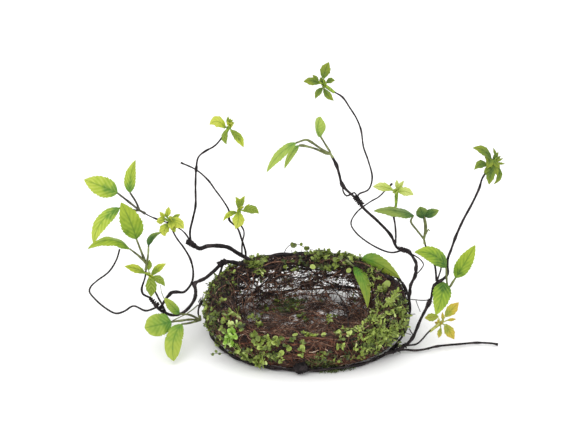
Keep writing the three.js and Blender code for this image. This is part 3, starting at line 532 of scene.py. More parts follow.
# %% [markdown]
# A wandering twig takes short steps on that surface. At each step it turns a little to the left or right,
# as a dry twig does, and some turn so steadily that they curl. A pull towards a chosen direction keeps the
# rim's twigs running round the nest. No twig dips into the table.

# %% Wandering twigs
STEP = 3.6 * MM
THINNING = 0.45
SWAY = 1.6 * MM
SWAY_PER_STEP = 0.33
LEAST_GAP = 0.1 * MM


def keep_above(place, height):
    place.z = max(place.z, height)


def wander(
    dice, start, heading, steps, thick, curl=0.0, loose=0.16, pull=0.0, lift=0.0, fly=0.0, step=STEP
):
    """One twig as (place, radius) pairs. Heading is in degrees from the way round the nest."""
    sway = dice.uniform(0, 6.3)
    place, normal = onto_nest(start, lift)
    keep_above(place, thick + LEAST_GAP)
    ahead = Matrix.Rotation(math.radians(heading), 3, normal) @ UP.cross(start).normalized()
    turn = 0.0
    twig = []
    for i in range(steps):
        share = i / steps
        twig.append((place, thick * (1 - THINNING * share)))
        round_nest = UP.cross(place).normalized()
        drift = ahead.cross(round_nest).dot(normal) if ahead.dot(round_nest) > 0 else 0
        turn = 0.8 * turn + dice.uniform(-loose, loose)
        ahead = Matrix.Rotation(turn + curl + pull * drift, 3, normal) @ ahead
        rise = lift + SWAY * math.sin(sway + SWAY_PER_STEP * i) + fly * share * share
        step_to, normal = onto_nest(place + ahead * step, rise)
        keep_above(step_to, thick + LEAST_GAP)
        ahead = (step_to - place).normalized()
        place = step_to
    return twig


trial = wander(random.Random(1), crest, 0, 30, 0.5 * MM)
print("a twig of 30 steps ends", round((trial[-1][0] - crest).length / MM), "mm from its start")

# %% [markdown]
# The real nest is dense at the rim and so thin below it that the white table glints through the back wall
# in many small specks. A noise is drawn over the view, and where it is high, most twigs stop and go on
# behind the speck, and some cross it. A few larger clearings are ovals as the eye sees them.

# %% Clearings in the back wall
CLEARINGS = [(262, 279, 6, 3), (291, 288, 9, 3), (318, 290, 6, 3), (339, 296, 7, 6), (335, 314, 6, 3),
             (347, 284, 4, 3), (250, 318, 3, 4), (296, 317, 4, 3)]
SPECKLED = (298, 297, 62, 31)  # the middle and half size of the back wall's inside in the picture
SPECK_SPACING = (4.6, 3.0)
SPECKS_ABOVE = 0.2  # a speck is where the noise is higher than this, in the upper half
SPECKS_BELOW = 0.31  # and in the lower half
CROSSING_SHARE = 0.22
SHORTEST_STRETCH = 5


def in_oval(x, y, oval):
    a, b, c, d = oval
    return ((x - a) / c) ** 2 + ((y - b) / d) ** 2 < 1


def in_clearing(place):
    """Whether a place lies in a clearing. The front wall has none."""
    if place.y < -30 * MM and place.z > 12 * MM:
        return False
    x, y = in_picture(place)
    if any(in_oval(x, y, oval) for oval in CLEARINGS):
        return True
    if not in_oval(x, y, SPECKLED):
        return False
    grain = noise.noise(Vector((x / SPECK_SPACING[0], y / SPECK_SPACING[1], 1.7)))
    return grain > (SPECKS_ABOVE if y < SPECKLED[1] else SPECKS_BELOW)


def stretches(twig):
    """The twig's stretches between clearings, without those that are too short."""
    kept = [[]]
    for spot in twig:
        if in_clearing(spot[0]):
            kept.append([])
        else:
            kept[-1].append(spot)
    return [stretch for stretch in kept if len(stretch) >= SHORTEST_STRETCH]


back_wall = [on_wall(around, about)[0] for around in range(60, 121, 2) for about in range(130, 230, 5)]
print(sum(map(in_clearing, back_wall)), "of", len(back_wall), "places in the back wall are clear")

# %% [markdown]
# Several kinds of twig make the nest. A core of thick dark ones lies hidden in the rim and the wall. Thinner
# ones run round the rim and the wall, slant over it, run down inside it and cross the floor, curly ones bind
# them, and short ends stick out. Every row of the table is one kind: how many, where they start on the
# wall's section, how far they may head off, how many steps and, in millimetres, their radius and their lift,
# which is below 0 inside the wall. Some rows add how hard the twig is pulled round the nest, a longer step,
# a curl, or how far its end sticks out.

# %% Kinds of twig
TWIG_KINDS = [
    {"count": 34, "about": (40, 120), "heading": 3, "steps": (60, 100), "thick": (1.2, 1.6),
     "lift": (-8, -5), "pull": 0.3},
    {"count": 18, "about": (-60, 20), "heading": 5, "steps": (50, 90), "thick": (1.0, 1.5),
     "lift": (-7, -4), "pull": 0.2},
    {"count": 220, "about": (42, 140), "heading": 14, "steps": (30, 70), "thick": (0.35, 0.75),
     "lift": (-3.5, 1.5), "pull": 0.16},
    {"count": 200, "about": (-65, 45), "heading": 26, "steps": (24, 56), "thick": (0.32, 0.65),
     "lift": (-3, 1), "pull": 0.1},
    {"count": 230, "about": (130, 232), "heading": 26, "steps": (28, 60), "thick": (0.3, 0.5),
     "lift": (-3, 1), "pull": 0.12},
    {"count": 230, "about": (95, 150), "heading": 95, "steps": (16, 40), "thick": (0.28, 0.5),
     "lift": (-2, 1.5)},
    {"count": 130, "about": (-60, 60), "heading": 85, "steps": (14, 30), "thick": (0.26, 0.44),
     "lift": (-2, 2)},
    {"count": 1050, "about": None, "heading": 180, "steps": (13, 23), "thick": (0.34, 0.56),
     "lift": (-2, 2), "step": 5.5},
    {"count": 330, "about": (-30, 235), "heading": 180, "steps": (10, 20), "thick": (0.24, 0.38),
     "lift": (-1, 2.5), "curl": (0.12, 0.5)},
    {"count": 330, "about": (-35, 150), "heading": 180, "steps": (4, 9), "thick": (0.24, 0.42),
     "lift": (0, 1.5), "fly": (3, 9)},
]


def floor_start(dice):
    turn, reach = dice.uniform(0, 2 * math.pi), 80 * dice.uniform(0.02, 1) ** 0.6
    return Vector((math.cos(turn) * reach, math.sin(turn) * reach, 3)) * MM


print(sum(kind["count"] for kind in TWIG_KINDS), "twigs of", len(TWIG_KINDS), "kinds")

# %% [markdown]
# Reddish bark shows most at the front, grey inside, and brown and umber everywhere. Some twigs everywhere are
# nearly black; at the left and on the back's crest many more are, as painted shade, and so is the hidden
# core deep in the wall. Low inside more of them are tan. Each colour is one mesh, and together they stand for
# the imported nest.

# %% Tones
RED_SHARES = {"front": 0.6, "elsewhere": 0.08}
GREY_SHARE_INSIDE = 0.3
# The share of dark twigs in a part of the nest, and of tan ones among the others
DARK_AND_TAN = {"low inside": (0.12, 0.3), "front": (0.2, 0.2), "shaded": (0.5, 0.1),
                "elsewhere": (0.26, 0.1)}
BARKS = {"brown": BROWN_TWIG, "umber": UMBER_TWIG, "red": RED_TWIG, "grey": GREY_TWIG, "dark": VINE_BARK,
         "tan": TAN_TWIG}


def pick_tone(dice, middle, is_core):
    """The tone of a twig whose middle lies there."""
    inside = Vector((middle.x, middle.y, 0)).length < 86 * MM
    front = middle.y < -58 * MM and abs(middle.x) < 75 * MM
    left = middle.x < -56 * MM and -40 * MM < middle.y < 70 * MM
    on_crest = middle.z > 34 * MM and middle.y > 40 * MM
    part = "elsewhere"
    if inside and middle.z < 22 * MM:
        part = "low inside"
    elif front:
        part = "front"
    elif left or on_crest:
        part = "shaded"
    red_share = RED_SHARES["front" if front else "elsewhere"]
    tone = "red" if dice.random() < red_share else dice.choice(("brown", "umber"))
    if inside and dice.random() < GREY_SHARE_INSIDE:
        tone = "grey"
    dark_share, tan_share = DARK_AND_TAN[part]
    # The hidden core is always dark, and the left and the crest get more dark twigs: painted shade
    if dice.random() < dark_share or is_core:
        return "dark"
    return "tan" if dice.random() < tan_share else tone


print(len(BARKS), "tones")

# %% Wind the nest
CORE_THICKNESS = 1
STEADY = 0.12  # how far a twig may turn at a step, where something pulls it round the nest
LOOSE = 0.22  # and where nothing does


def wind(dice, kind):
    """One twig of a kind."""
    around = dice.uniform(0, 360)
    start = on_wall(around, dice.uniform(*kind["about"]))[0] if kind["about"] else floor_start(dice)
    return wander(
        dice,
        start,
        dice.uniform(-kind["heading"], kind["heading"]),
        dice.randint(*kind["steps"]),
        dice.uniform(*kind["thick"]) * MM,
        dice.choice((-1, 1)) * dice.uniform(*kind.get("curl", (0, 0.03))),
        STEADY if "pull" in kind else LOOSE,
        kind.get("pull", 0),
        dice.uniform(*kind["lift"]) * MM,
        dice.uniform(*kind.get("fly", (0, 0))) * MM,
        kind["step"] * MM if "step" in kind else STEP,
    )


dice = random.Random(7)
twigs = {tone: [] for tone in BARKS}
for kind in TWIG_KINDS:
    for _ in range(kind["count"]):
        twig = wind(dice, kind)
        tone = pick_tone(dice, twig[len(twig) // 2][0], kind["thick"][1] > CORE_THICKNESS)
        twigs[tone] += [twig] if dice.random() < CROSSING_SHARE else stretches(twig)
for tone, strands in twigs.items():
    finish_piece(rods("nest_twigs_" + tone, strands, BARKS[tone]), "twig", "nest")
    print(len(strands), tone, "twigs")

# %% [markdown]
# Short bits of stripped bark are caught between the twigs. They are the nest's only pale specks.

# %% Pale bits
BITS = 120
BIT_RADIUS = 0.55 * MM
bits = []
for _ in range(BITS):
    around, about = dice.uniform(0, 360), dice.uniform(-50, 225)
    start = on_wall(around, about)[0] if dice.random() < 0.6 else floor_start(dice)
    heading = dice.uniform(-180, 180)
    bits.append(wander(dice, start, heading, dice.randint(2, 4), BIT_RADIUS, 0.3, lift=1.6 * MM))
finish_piece(rods("nest_pale_bits", bits, PALE_TWIG), "twig", "nest")

# %% [markdown]
# Vines
#
# The vines are wire in dark bark-brown paper. They thin out towards their ends and swell into a knot here and
# there, and where two meet they are bound with a few turns of the same wire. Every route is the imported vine's
# own, read from the front: each point is its place in the picture, its depth and, at a knot, how far the knot
# swells in millimetres. After each route come the vine's radii at its two ends.

# %% Vines
KNOT_REACH = 5 * MM
# Two waves of noise that make a vine uneven: how much, and how many there are to a metre
VINE_WAVES = ((0.16, 160), (0.14, 420))


def uneven(place, waves):
    """A vine's thickness at a place, as a share of its even thickness."""
    return 1 + sum(share * noise.noise(place * often) for share, often in waves)


def vine(points, thick, thin=None, knots=(), spacing=2.5):
    """One smooth vine through the points. Thicknesses are radii in millimetres."""
    thin = thick if thin is None else thin
    line = smooth([Vector(p) for p in points], spacing * MM)
    strand = []
    for i, place in enumerate(line):
        radius = thick + (thin - thick) * i / (len(line) - 1)
        radius *= uneven(place, VINE_WAVES)
        for knot, swell in knots:
            radius += swell * max(0, 1 - ((place - knot).length / KNOT_REACH) ** 2)
        strand.append((place, radius * MM))
    return strand


def wire(route, thick, thin=None):
    """A vine along a route as it is read from the picture."""
    places = [seen(*point[:3]) for point in route]
    knots = [(place, point[3]) for place, point in zip(places, route) if len(point) > 3]
    return vine(places, thick, thin, knots)


print("a short vine has", len(vine([Vector((0, 0, 0)), UP * 0.05], 1)), "places in 50 mm")

# %% Bindings
PLACES_TO_A_TURN = 9
FEWEST_PLACES = 12


def random_way(dice, most=1):
    return Vector([dice.uniform(-most, most) for _ in range(3)])


def binding(start, end, radius, wire_radius, turns, seed=1, spindle=0.0):
    """Wire wound round a vine from start to end. A spindle's ends are thinner than its middle."""
    rough = random.Random(seed)
    along = (end - start).normalized()
    side = along.orthogonal().normalized()
    other = along.cross(side)
    steps = max(FEWEST_PLACES, int(turns * PLACES_TO_A_TURN))
    coil = []
    for i in range(steps + 1):
        share = i / steps
        angle = 2 * math.pi * turns * share
        slide = share + rough.uniform(-0.012, 0.012)
        swell = radius * (1 + rough.uniform(-0.14, 0.2)) * (1 - spindle * (2 * share - 1) ** 2)
        offset = side * math.cos(angle) + other * math.sin(angle)
        coil.append((start.lerp(end, slide) + offset * swell * MM, wire_radius * MM))
    return coil


def frayed(middle, radius, count, seed):
    """Short wire ends that stick out of a binding."""
    rough = random.Random(seed)
    ends = []
    for _ in range(count):
        way = random_way(rough).normalized()
        start = middle + way * radius * 0.5 * MM
        bend = random_way(rough) * MM
        tip = middle + way * (radius + rough.uniform(1.5, 3.5)) * MM
        keep_above(tip, 0.6 * MM)
        ends.append(vine([start, start.lerp(tip, 0.6) + bend * 0.5, tip + bend], 0.45, 0.2, spacing=1))
    return ends


def make_vine(name, wires, extras):
    strands = [wire(route, thick, thin) for route, thick, thin in wires]
    finish_piece(rods(name + "_bark", strands + extras, VINE_BARK, detail=1), "vine", name)


print("a binding of five turns has", len(binding(Vector((0, 0, 0)), UP * 0.01, 2, 0.5, 5)), "places")

# %% Upper left vine
LEFT_UPPER = [
    ([(186, 241.5, 62), (191, 243, 62, 1.0), (199.4, 248.5, 64), (208, 246, 66), (227, 247, 70),
      (237, 252.7, 73), (245.5, 257.5, 76), (257, 262.5, 80)], 2.7, 2.1),
    ([(191, 243, 62), (190, 232, 61), (193, 218, 60), (195.5, 206, 59, 0.3), (195.5, 186, 57),
      (196.2, 169, 55, 0.7), (198.5, 157, 53), (205.5, 151, 52, 0.4), (213, 147, 51), (218, 142.6, 50),
      (225, 133, 50)], 1.35, 1.05),
    ([(181, 162.7, 40, 0.5), (196.2, 169.8, 46), (208.5, 180.6, 52, 0.4), (215, 189.6, 56), (222.7, 200, 60),
      (229, 211, 63), (229.3, 220, 66, 0.4), (237.4, 228, 69), (241.5, 239, 72), (245.6, 252, 75),
      (245.6, 258, 76)], 0.9, 1.3),
    ([(239.4, 214, 66), (241, 225, 66), (243.6, 230, 67), (244, 235, 69), (242.8, 239.6, 71),
      (242, 245, 73), (242, 256, 75)], 0.9, 1.1),
    ([(191, 243, 62), (186.4, 235, 58), (181.5, 230, 52), (176.5, 227, 48.5)], 1.2, 0.8),
]
make_vine(
    "vine_left_upper",
    LEFT_UPPER,
    [
        binding(seen(188.5, 242.3, 62), seen(195.5, 246.5, 63.3), 2.9, 0.6, 5),
        *frayed(seen(192, 244, 62.5), 3, 5, 2),
    ],
)

# %% Lower left vine
LEFT_LOWER = [
    ([(244, 265, 73), (232, 262, 68), (223.6, 262.4, 62, 1.0), (215, 270, 52), (205.5, 278, 40),
      (194.5, 284, 26, 0.9), (195.6, 290, 18), (195, 297.6, 10, 0.4), (191, 305, 4), (184, 312, 0),
      (173.4, 315.2, -5), (162.5, 311.7, -3), (157, 307, 0), (150, 297.6, 5)], 2.3, 1.6),
    ([(223.6, 262.4, 62), (217.5, 279, 50), (211.5, 285, 38), (205, 298, 17), (200.5, 304, 8, 0.9),
      (198.5, 309, 3), (198.5, 315, -4), (200.5, 319, -9)], 1.6, 1.0),
    ([(171, 223.4, 45), (173.4, 232, 42), (177, 238.6, 40), (184, 248, 38), (190.7, 260, 36, 0.3),
      (193.2, 272, 32), (191.8, 282.5, 26), (184, 292, 16), (176.6, 292, 12, 0.5), (171, 293, 9, 0.7),
      (163.6, 302.5, 3), (160, 309, -2)], 1.1, 1.6),
    ([(172, 224, 45), (156.6, 219, 40, 0.3), (149.6, 216, 36), (140.7, 211, 32)], 0.8, 0.8),
    ([(150, 276, 10), (151, 280, 10), (155, 291, 6), (159, 299, 2), (163, 306, -1),
      (166, 313, -5)], 1.0, 1.3),
    ([(146.3, 266, 14), (145, 277.6, 12), (141.7, 289, 8, 0.3), (143, 294, 6), (150, 297.6, 5)], 1.0, 1.3),
    ([(119.7, 249, 20), (116.6, 259.4, 16), (109, 271.6, 10), (96.7, 281, 4), (90.6, 287, 0),
      (89.4, 291.5, -2), (95, 299, -4), (106, 308.4, -6), (116, 313.4, -6), (124, 311.4, -5),
      (133.5, 306, -3), (145.7, 310.7, -3), (157.5, 307, 0)], 1.05, 1.15),
    ([(172.2, 293, 10), (169, 295.5, 8, 0.9), (165.8, 298, 5)], 1.0, 1.0),
    ([(198.5, 309, 3), (201.5, 303, 12), (203.5, 294, 20)], 0.7, 0.4),
]
make_vine(
    "vine_left_lower",
    LEFT_LOWER,
    [
        binding(seen(218.5, 265, 57), seen(226, 261, 64), 3.0, 0.9, 6, 3),
        *frayed(seen(222, 263, 61), 3.4, 7, 4),
        binding(seen(149.5, 298, 5), seen(166, 313.5, -5), 2.7, 0.65, 10, 5, spindle=0.45),
        binding(seen(152, 301, 3), seen(164, 311.5, -4), 2.9, 0.5, 5, 6, spindle=0.5),
        *frayed(seen(158, 306, 0), 3.2, 8, 7),
        binding(seen(199.5, 303, 9), seen(202, 299, 14), 1.9, 0.5, 3, 8),
    ],
)

# %% Upper right vine
RIGHT_UPPER = [
    ([(331.7, 156, 30), (336.4, 165, 27, 0.7), (339, 173.4, 24), (342.4, 185, 20, 0.9), (350.4, 193.5, 17),
      (358, 200, 14, 0.9), (362.5, 207, 12), (378.6, 222, 12), (390.6, 235, 12, 0.4), (398, 248.4, 12),
      (408, 251, 11, 1.0), (415, 261, 6), (416.6, 266.4, 3), (415, 275.5, 0, 0.5), (411, 284.7, 0),
      (409.5, 293, 0), (408.8, 308, 0)], 1.5, 1.7),
    ([(403, 250, 12), (409.5, 254, 9.5), (416.8, 262.5, 4.5), (414.8, 268, 2), (416.3, 276, 0.5),
      (409.8, 285, -1), (410.8, 292.5, -1), (407.4, 301, 0)], 1.1, 1.2),
    ([(329, 88, 40), (334.5, 92, 40), (342.4, 97, 39, 0.3), (350, 108, 37), (356.3, 118, 36),
      (361, 130, 34, 0.3), (363.5, 147, 31), (368, 160, 28), (372.2, 178, 22), (368.5, 189.5, 18),
      (358.5, 194.5, 15), (357.5, 200, 14)], 0.95, 1.1),
    ([(392, 183.7, 22, 0.6), (385.3, 190.5, 24), (378.6, 197, 24), (370.5, 201.6, 22), (357, 212, 20),
      (351, 223.7, 24), (357, 233.7, 24), (374.6, 246.4, 19), (391, 252.5, 14), (402, 250.5, 12)], 0.85, 1.0),
    ([(397, 196, 17), (395.2, 207, 16), (393.6, 214.6, 15, 0.4), (395, 224, 14), (395.8, 234, 13),
      (395.6, 243, 12)], 1.05, 1.15),
    ([(410, 253, 11), (419.7, 259, 12), (423.5, 264.4, 10), (420.7, 269.7, 6), (415, 275.5, 0)], 0.75, 0.75),
    ([(358.5, 200, 14), (351, 194, 18), (346.5, 189.8, 21), (343.8, 189, 22)], 0.8, 0.45),
]
make_vine(
    "vine_right_upper",
    RIGHT_UPPER,
    [
        binding(seen(354, 196.3, 15.6), seen(362.3, 205, 12.3), 2.7, 0.8, 6, 5),
        wire([(342.4, 186, 20), (343.4, 192, 20), (346.4, 195.8, 20), (350.4, 194.6, 20), (354.4, 192.6, 19),
              (357.4, 196.5, 16)], 1.0, 0.9),
        *frayed(seen(358, 200, 14), 2.6, 4, 9),
        binding(seen(398.5, 248.6, 12), seen(407.5, 251, 10.8), 2.3, 0.65, 6, 6),
        binding(seen(400.5, 249, 12), seen(405.5, 250.4, 11.2), 2.7, 0.5, 3, 16),
        *frayed(seen(403, 250, 11.5), 2.8, 5, 10),
    ],
)

# %% Lower right vine
RIGHT_LOWER = [
    ([(486, 172, 20), (482, 179, 20), (479.3, 188, 20, 0.3), (471.6, 204.5, 19), (463.2, 220, 17),
      (455.4, 237.5, 13, 0.4), (451, 250, 10), (447.7, 259, 7), (447.3, 266.4, 4), (447.7, 274, 1),
      (439.8, 281.4, -5, 0.8), (434, 285, -8), (433, 289, -10), (431.5, 297, -14), (429, 303, -18, 0.9),
      (420.6, 319.4, -28), (412.6, 337.7, -40, 0.4), (406.8, 344.3, -45), (396.5, 350.4, -53.5),
      (384.5, 353.9, -60)], 1.2, 2.1),
    ([(424.2, 241, 6), (426.4, 248, 5), (431, 257, 3), (434.7, 265, 0), (436.6, 281.2, -6)], 1.0, 1.3),
    ([(431, 257, 3), (437, 261, 2), (441, 266, 0), (437.5, 280, -5)], 0.8, 1.1),
    ([(439.8, 281.4, -5), (447, 287, -5)], 1.2, 1.2),
    ([(431, 330, -44), (428, 332.5, -46), (422, 339.5, -48), (416.5, 344, -48), (406, 345.5, -47)], 0.9, 1.2),
    ([(396, 350.7, -53.5), (404, 349.7, -47), (415, 350.4, -46), (425, 349.2, -43), (437, 346.3, -37, 0.3),
      (460.6, 344, -30), (477, 342.7, -27, 0.4), (493.3, 343.5, -29), (497.8, 344.5, -31, 0.6)], 1.35, 1.1),
    ([(430.8, 299.5, -16), (424, 300.4, -14), (412.7, 299.5, -9), (405, 298.5, -4)], 0.7, 0.45),
    ([(415.8, 299.8, -10), (417.5, 305, -16), (420.3, 311.8, -24)], 0.5, 0.4),
    ([(402, 317, -20), (409.7, 314.5, -22), (415.4, 314, -24)], 0.55, 0.35),
    ([(410, 314.4, -22), (410.8, 311, -22)], 0.4, 0.3),
    ([(412.6, 334.3, -38), (410.5, 331, -37), (409.2, 328.5, -36, 0.3)], 0.6, 0.45),
    ([(411, 334.6, -38), (405, 332.6, -38)], 0.4, 0.3),
]
make_vine(
    "vine_right_lower",
    RIGHT_LOWER,
    [
        binding(seen(437.5, 283, -6.5), seen(432.6, 290.5, -11), 2.1, 0.6, 5, 7),
        binding(seen(430.5, 300, -16), seen(427.5, 306, -20), 2.3, 0.6, 4, 8),
        *frayed(seen(429, 303, -18), 2.4, 4, 11),
        binding(seen(391, 352, -56.5), seen(406.5, 345, -46), 2.5, 0.8, 6, 9),
        *frayed(seen(398, 350, -52), 2.8, 7, 12),
    ],
)

# %% [markdown]
# The hoop is two vines twisted together. It is low on the nest's front and high behind, so its route is given
# by places on the wall. It is tied in front with a thick lump of turns, and one thinner vine leaves the knot
# and runs to the right above the hoop.

# %% Hoop
HOOP = [(266, -35), (290, -36), (314, -38), (332, -33), (344, -14), (353, 12), (362, 36), (374, 52),
        (390, 60), (420, 64), (450, 64), (480, 62), (500, 54), (516, 38), (528, 16), (542, -8), (560, -28),
        (582, -38), (604, -36.5)]
HOOP_LIFT = 5.15 * MM
HOOP_TWISTS = 14
HOOP_WAVES = ((0.15, 120), (0.12, 400))
hoop_line = smooth([on_wall(*spot, HOOP_LIFT)[0] for spot in HOOP], 3.5 * MM, closed=True)


def hoop_strand(radius, offset, phase):
    """One of the hoop's two vines. Radius and offset are in millimetres."""
    strand = []
    for i, place in enumerate(hoop_line):
        along = hoop_line[min(i + 1, len(hoop_line) - 1)] - hoop_line[max(i - 1, 0)]
        side = along.cross(UP).normalized()
        other = side.cross(along).normalized()
        angle = 2 * math.pi * HOOP_TWISTS * i / (len(hoop_line) - 1) + phase
        shift = side * math.cos(angle) + other * math.sin(angle)
        strand.append((place + shift * offset * MM, radius * uneven(place, HOOP_WAVES) * MM))
    return strand


print("the hoop's line has", len(hoop_line), "places")

# %% Knot
UPPER_VINE = [(262, -37), (274, -30), (288, -22), (302, -29), (314, -37.5)]
upper = [on_wall(*spot, 6 * MM)[0] for spot in UPPER_VINE]
knot_middle = hoop_line[0] + Vector((-1, -3.5, 6)) * MM


def from_knot(*offset):
    return knot_middle + Vector(offset) * MM


knot = [
    vine([from_knot(-5.5, 0, -3), knot_middle, from_knot(6.5, 0, 3)], 5.0, 4.0),
    binding(from_knot(-6, 0, -3), from_knot(7, 0, 3.5), 6.2, 1.2, 7, 11, spindle=0.4),
    binding(from_knot(-4, 0, 3), from_knot(4.5, 0, -3.5), 6.6, 1.0, 4, 12, spindle=0.3),
    binding(from_knot(-1.5, 0, -5), from_knot(2, 0, 5), 6.0, 1.0, 4, 13),
    vine([from_knot(0, 0, 0), hoop_line[1], hoop_line[3]], 1.6, 1.2),
    vine([from_knot(0, 0, 0), hoop_line[-2], hoop_line[-4]], 1.6, 1.2),
    *frayed(knot_middle, 6, 20, 14),
    vine([from_knot(0, 0, 0), from_knot(1, -5, -4), from_knot(-1, -8, -4.6)], 1.1, 0.6),
]
hoop = rods(
    "base_hoop_bark",
    [hoop_strand(1.2, 0.8, 0.0), hoop_strand(0.95, 1.3, math.pi), vine(upper, 1.2, 1.0), *knot],
    VINE_BARK,
    detail=1,
)
finish_piece(hoop, "vine", "base_hoop")

# %% [markdown]
# Leaves
#
# A leaf is a thin sheet with a toothed outline. It starts as a flat grid, which is drawn in to the outline
# and given a thickness. Its map keeps the grid's own squares, so veins follow the leaf wherever it bends.
# One such leaf serves for all the broad ones, and a slender one with fewer teeth for the young ones. The
# edge swells towards the tip along each tooth and then steps back, so that the teeth point forwards.

# %% Two master leaves
BROAD_OUTLINE = [(0, 0.08), (0.04, 0.36), (0.12, 0.7), (0.24, 0.93), (0.38, 1.0), (0.52, 0.97), (0.66, 0.83),
                 (0.8, 0.58), (0.9, 0.33), (0.96, 0.16), (1, 0.0)]
YOUNG_OUTLINE = [(0, 0.2), (0.1, 0.46), (0.25, 0.8), (0.4, 0.98), (0.52, 1.0), (0.66, 0.86), (0.8, 0.56),
                 (0.92, 0.22), (1, 0.0)]
LEAF_THICKNESS = 0.35 * MM
TOOTHED_FROM = 0.06
TOOTHED_TO = 0.97


def read_outline(outline, share):
    """The leaf's half width, from 0 to 1, at a share of its length."""
    for (a, low), (b, high) in zip(outline, outline[1:]):
        if share <= b:
            return low + (high - low) * (share - a) / (b - a)
    return 0.0


def thicken(sheet, thickness):
    """Gives a flat, active mesh its thickness, half of it on each side."""
    solid = sheet.modifiers.new("thickness", "SOLIDIFY")
    solid.thickness = thickness
    solid.offset = 0
    bpy.ops.object.modifier_apply(modifier=solid.name)


def master_leaf(name, outline, teeth, notch, along, across):
    """A flat leaf one long and two wide, with its base at the origin and its tip on +X."""
    bpy.ops.object.select_all(action="DESELECT")
    bpy.ops.mesh.primitive_grid_add(x_subdivisions=along, y_subdivisions=across, size=1, calc_uvs=True)
    leaf = bpy.context.object
    leaf.name = name
    for vertex in leaf.data.vertices:
        share = vertex.co.x + 0.5
        aside = vertex.co.y * 2
        toothed = abs(aside) > 0.99 and TOOTHED_FROM < share < TOOTHED_TO
        tooth = 1 - notch * (1 - (share * teeth) % 1.0) if toothed else 1
        vertex.co = (share, aside * read_outline(outline, share) * tooth, 0)
    thicken(leaf, LEAF_THICKNESS)
    bpy.ops.object.shade_smooth()
    print(name, len(leaf.data.polygons), "faces")
    return leaf


broad_leaf = master_leaf("broad_leaf", BROAD_OUTLINE, 10, 0.12, 50, 8)
young_leaf = master_leaf("young_leaf", YOUNG_OUTLINE, 4, 0.16, 16, 4)

# %% [markdown]
# Each copy is bent as it hangs. Its midrib is a curve from its base to its tip past a third place. Its halves
# fold back or roll in, its edge waves, it may narrow or twist towards its tip, and it is turned away from the
# eye by its own angle. Base, tip and the place passed are where the real ones are seen. A blunt leaf is wider
# towards its tip and ends in a round.

# %% Bend a leaf into place
EDGE_WAVES = 17
BLUNT_FROM = 0.45
ROUND_FROM = 0.5


def half_width(t, aside, width, taper, blunt):
    """How far from the midrib a place on the leaf is, t of the way to its tip."""
    reach = width / 2 * MM * abs(aside) * (1 - taper * t)
    if not blunt:
        return reach
    reach *= 1 + 1.6 * blunt * max(0, t - BLUNT_FROM) ** 0.7
    return min(reach, width / 2 * MM * math.sqrt(max(0, 1 - max(0, t - ROUND_FROM) ** 2 * 4)))


def bent(base, tip, width, turn=0, twist=0, via=None, arch=0, fold=12, roll=0, wave=0, taper=0, blunt=0):
    """A function from the flat leaf to its place. Angles are in degrees, other sizes in millimetres."""
    straight = (tip - base).normalized()
    face = (TO_EYE - straight * TO_EYE.dot(straight)).normalized()
    face = Matrix.Rotation(math.radians(turn), 3, straight) @ face
    middle = (seen(*via) if via else (base + tip) / 2) + face * arch * MM
    control = middle * 2 - (base + tip) / 2
    folded, rolled = math.radians(fold), math.radians(roll)
    sections = {}

    def section(t):
        if t not in sections:
            spine = base * (1 - t) ** 2 + control * (2 * t * (1 - t)) + tip * t * t
            along = ((control - base) * (1 - t) + (tip - control) * t).normalized()
            up = (face - along * face.dot(along)).normalized()
            up = Matrix.Rotation(math.radians(twist * (t - 0.3)), 3, along) @ up
            sections[t] = spine, up, along.cross(up)
        return sections[t]

    def place(point):
        t, aside, thickness = point
        spine, up, side = section(round(t, 5))
        sign = 1 if aside >= 0 else -1
        reach = half_width(t, aside, width, taper, blunt)
        angle = max(rolled * abs(aside), 1e-4)
        flat, fall = reach * math.sin(angle) / angle, reach * (1 - math.cos(angle)) / angle
        across = flat * math.cos(folded) - fall * math.sin(folded)
        rise = -flat * math.sin(folded) - fall * math.cos(folded)
        rise += wave * MM * abs(aside) * math.sin(EDGE_WAVES * t + 5 * sign)
        lean = folded + angle
        normal = up * math.cos(lean) + side * (sign * math.sin(lean))
        return spine + side * (sign * across) + up * rise + normal * thickness

    return place


straight_leaf = bent(seen(284, 224, 0), seen(284, 184, 0), 20)
print("a leaf's tip lies at", [round(v / MM) for v in straight_leaf((1, 0, 0))], "mm")

# %% [markdown]
# The leaves of a spray, tuft or garland that share a material are one mesh. Each copy takes the master's
# places through its own shape, and keeps its map and a tint of its own. Faces must point outwards on every
# copy, so their normals are worked out again.

# %% Copy a leaf
SMOOTH_UNDER = math.radians(50)


def copies(name, master, shapes, material):
    """One mesh of a master's copies, each with its own shape and tint."""
    source = master.data
    flat = [tuple(vertex.co) for vertex in source.vertices]
    corners = [list(face.vertices) for face in source.polygons]
    maps = [tuple(corner.uv) for corner in source.uv_layers.active.data]
    places, faces, tints = [], [], []
    for shape, tint in shapes:
        first = len(places)
        places += [shape(point) for point in flat]
        faces += [[first + i for i in face] for face in corners]
        tints += [tint] * len(flat)
    mesh = bpy.data.meshes.new(name)
    mesh.from_pydata(places, [], faces)
    mesh.uv_layers.new(name="UVMap").data.foreach_set("uv", [v for pair in maps * len(shapes) for v in pair])
    mesh.attributes.new("tint", "FLOAT", "POINT").data.foreach_set("value", tints)
    mesh.materials.append(material)
    piece = add_object(name, mesh)
    bpy.ops.object.mode_set(mode="EDIT")
    bpy.ops.mesh.select_all(action="SELECT")
    bpy.ops.mesh.normals_make_consistent(inside=False)
    bpy.ops.object.mode_set(mode="OBJECT")
    bpy.ops.object.shade_smooth_by_angle(angle=SMOOTH_UNDER)
    return piece


print("a broad leaf's copy has", len(broad_leaf.data.vertices), "places")

# %% [markdown]
# Sprays of broad leaves
#
# A spray is three leaves on stalks that meet at a short sheath on the vine's end. The stalk's last point is
# the leaf's base. Each leaf is its stalk, its tip, its width, its cloth and how it bends. Two single leaves
# with a sheath of their own are tucked in the rim.

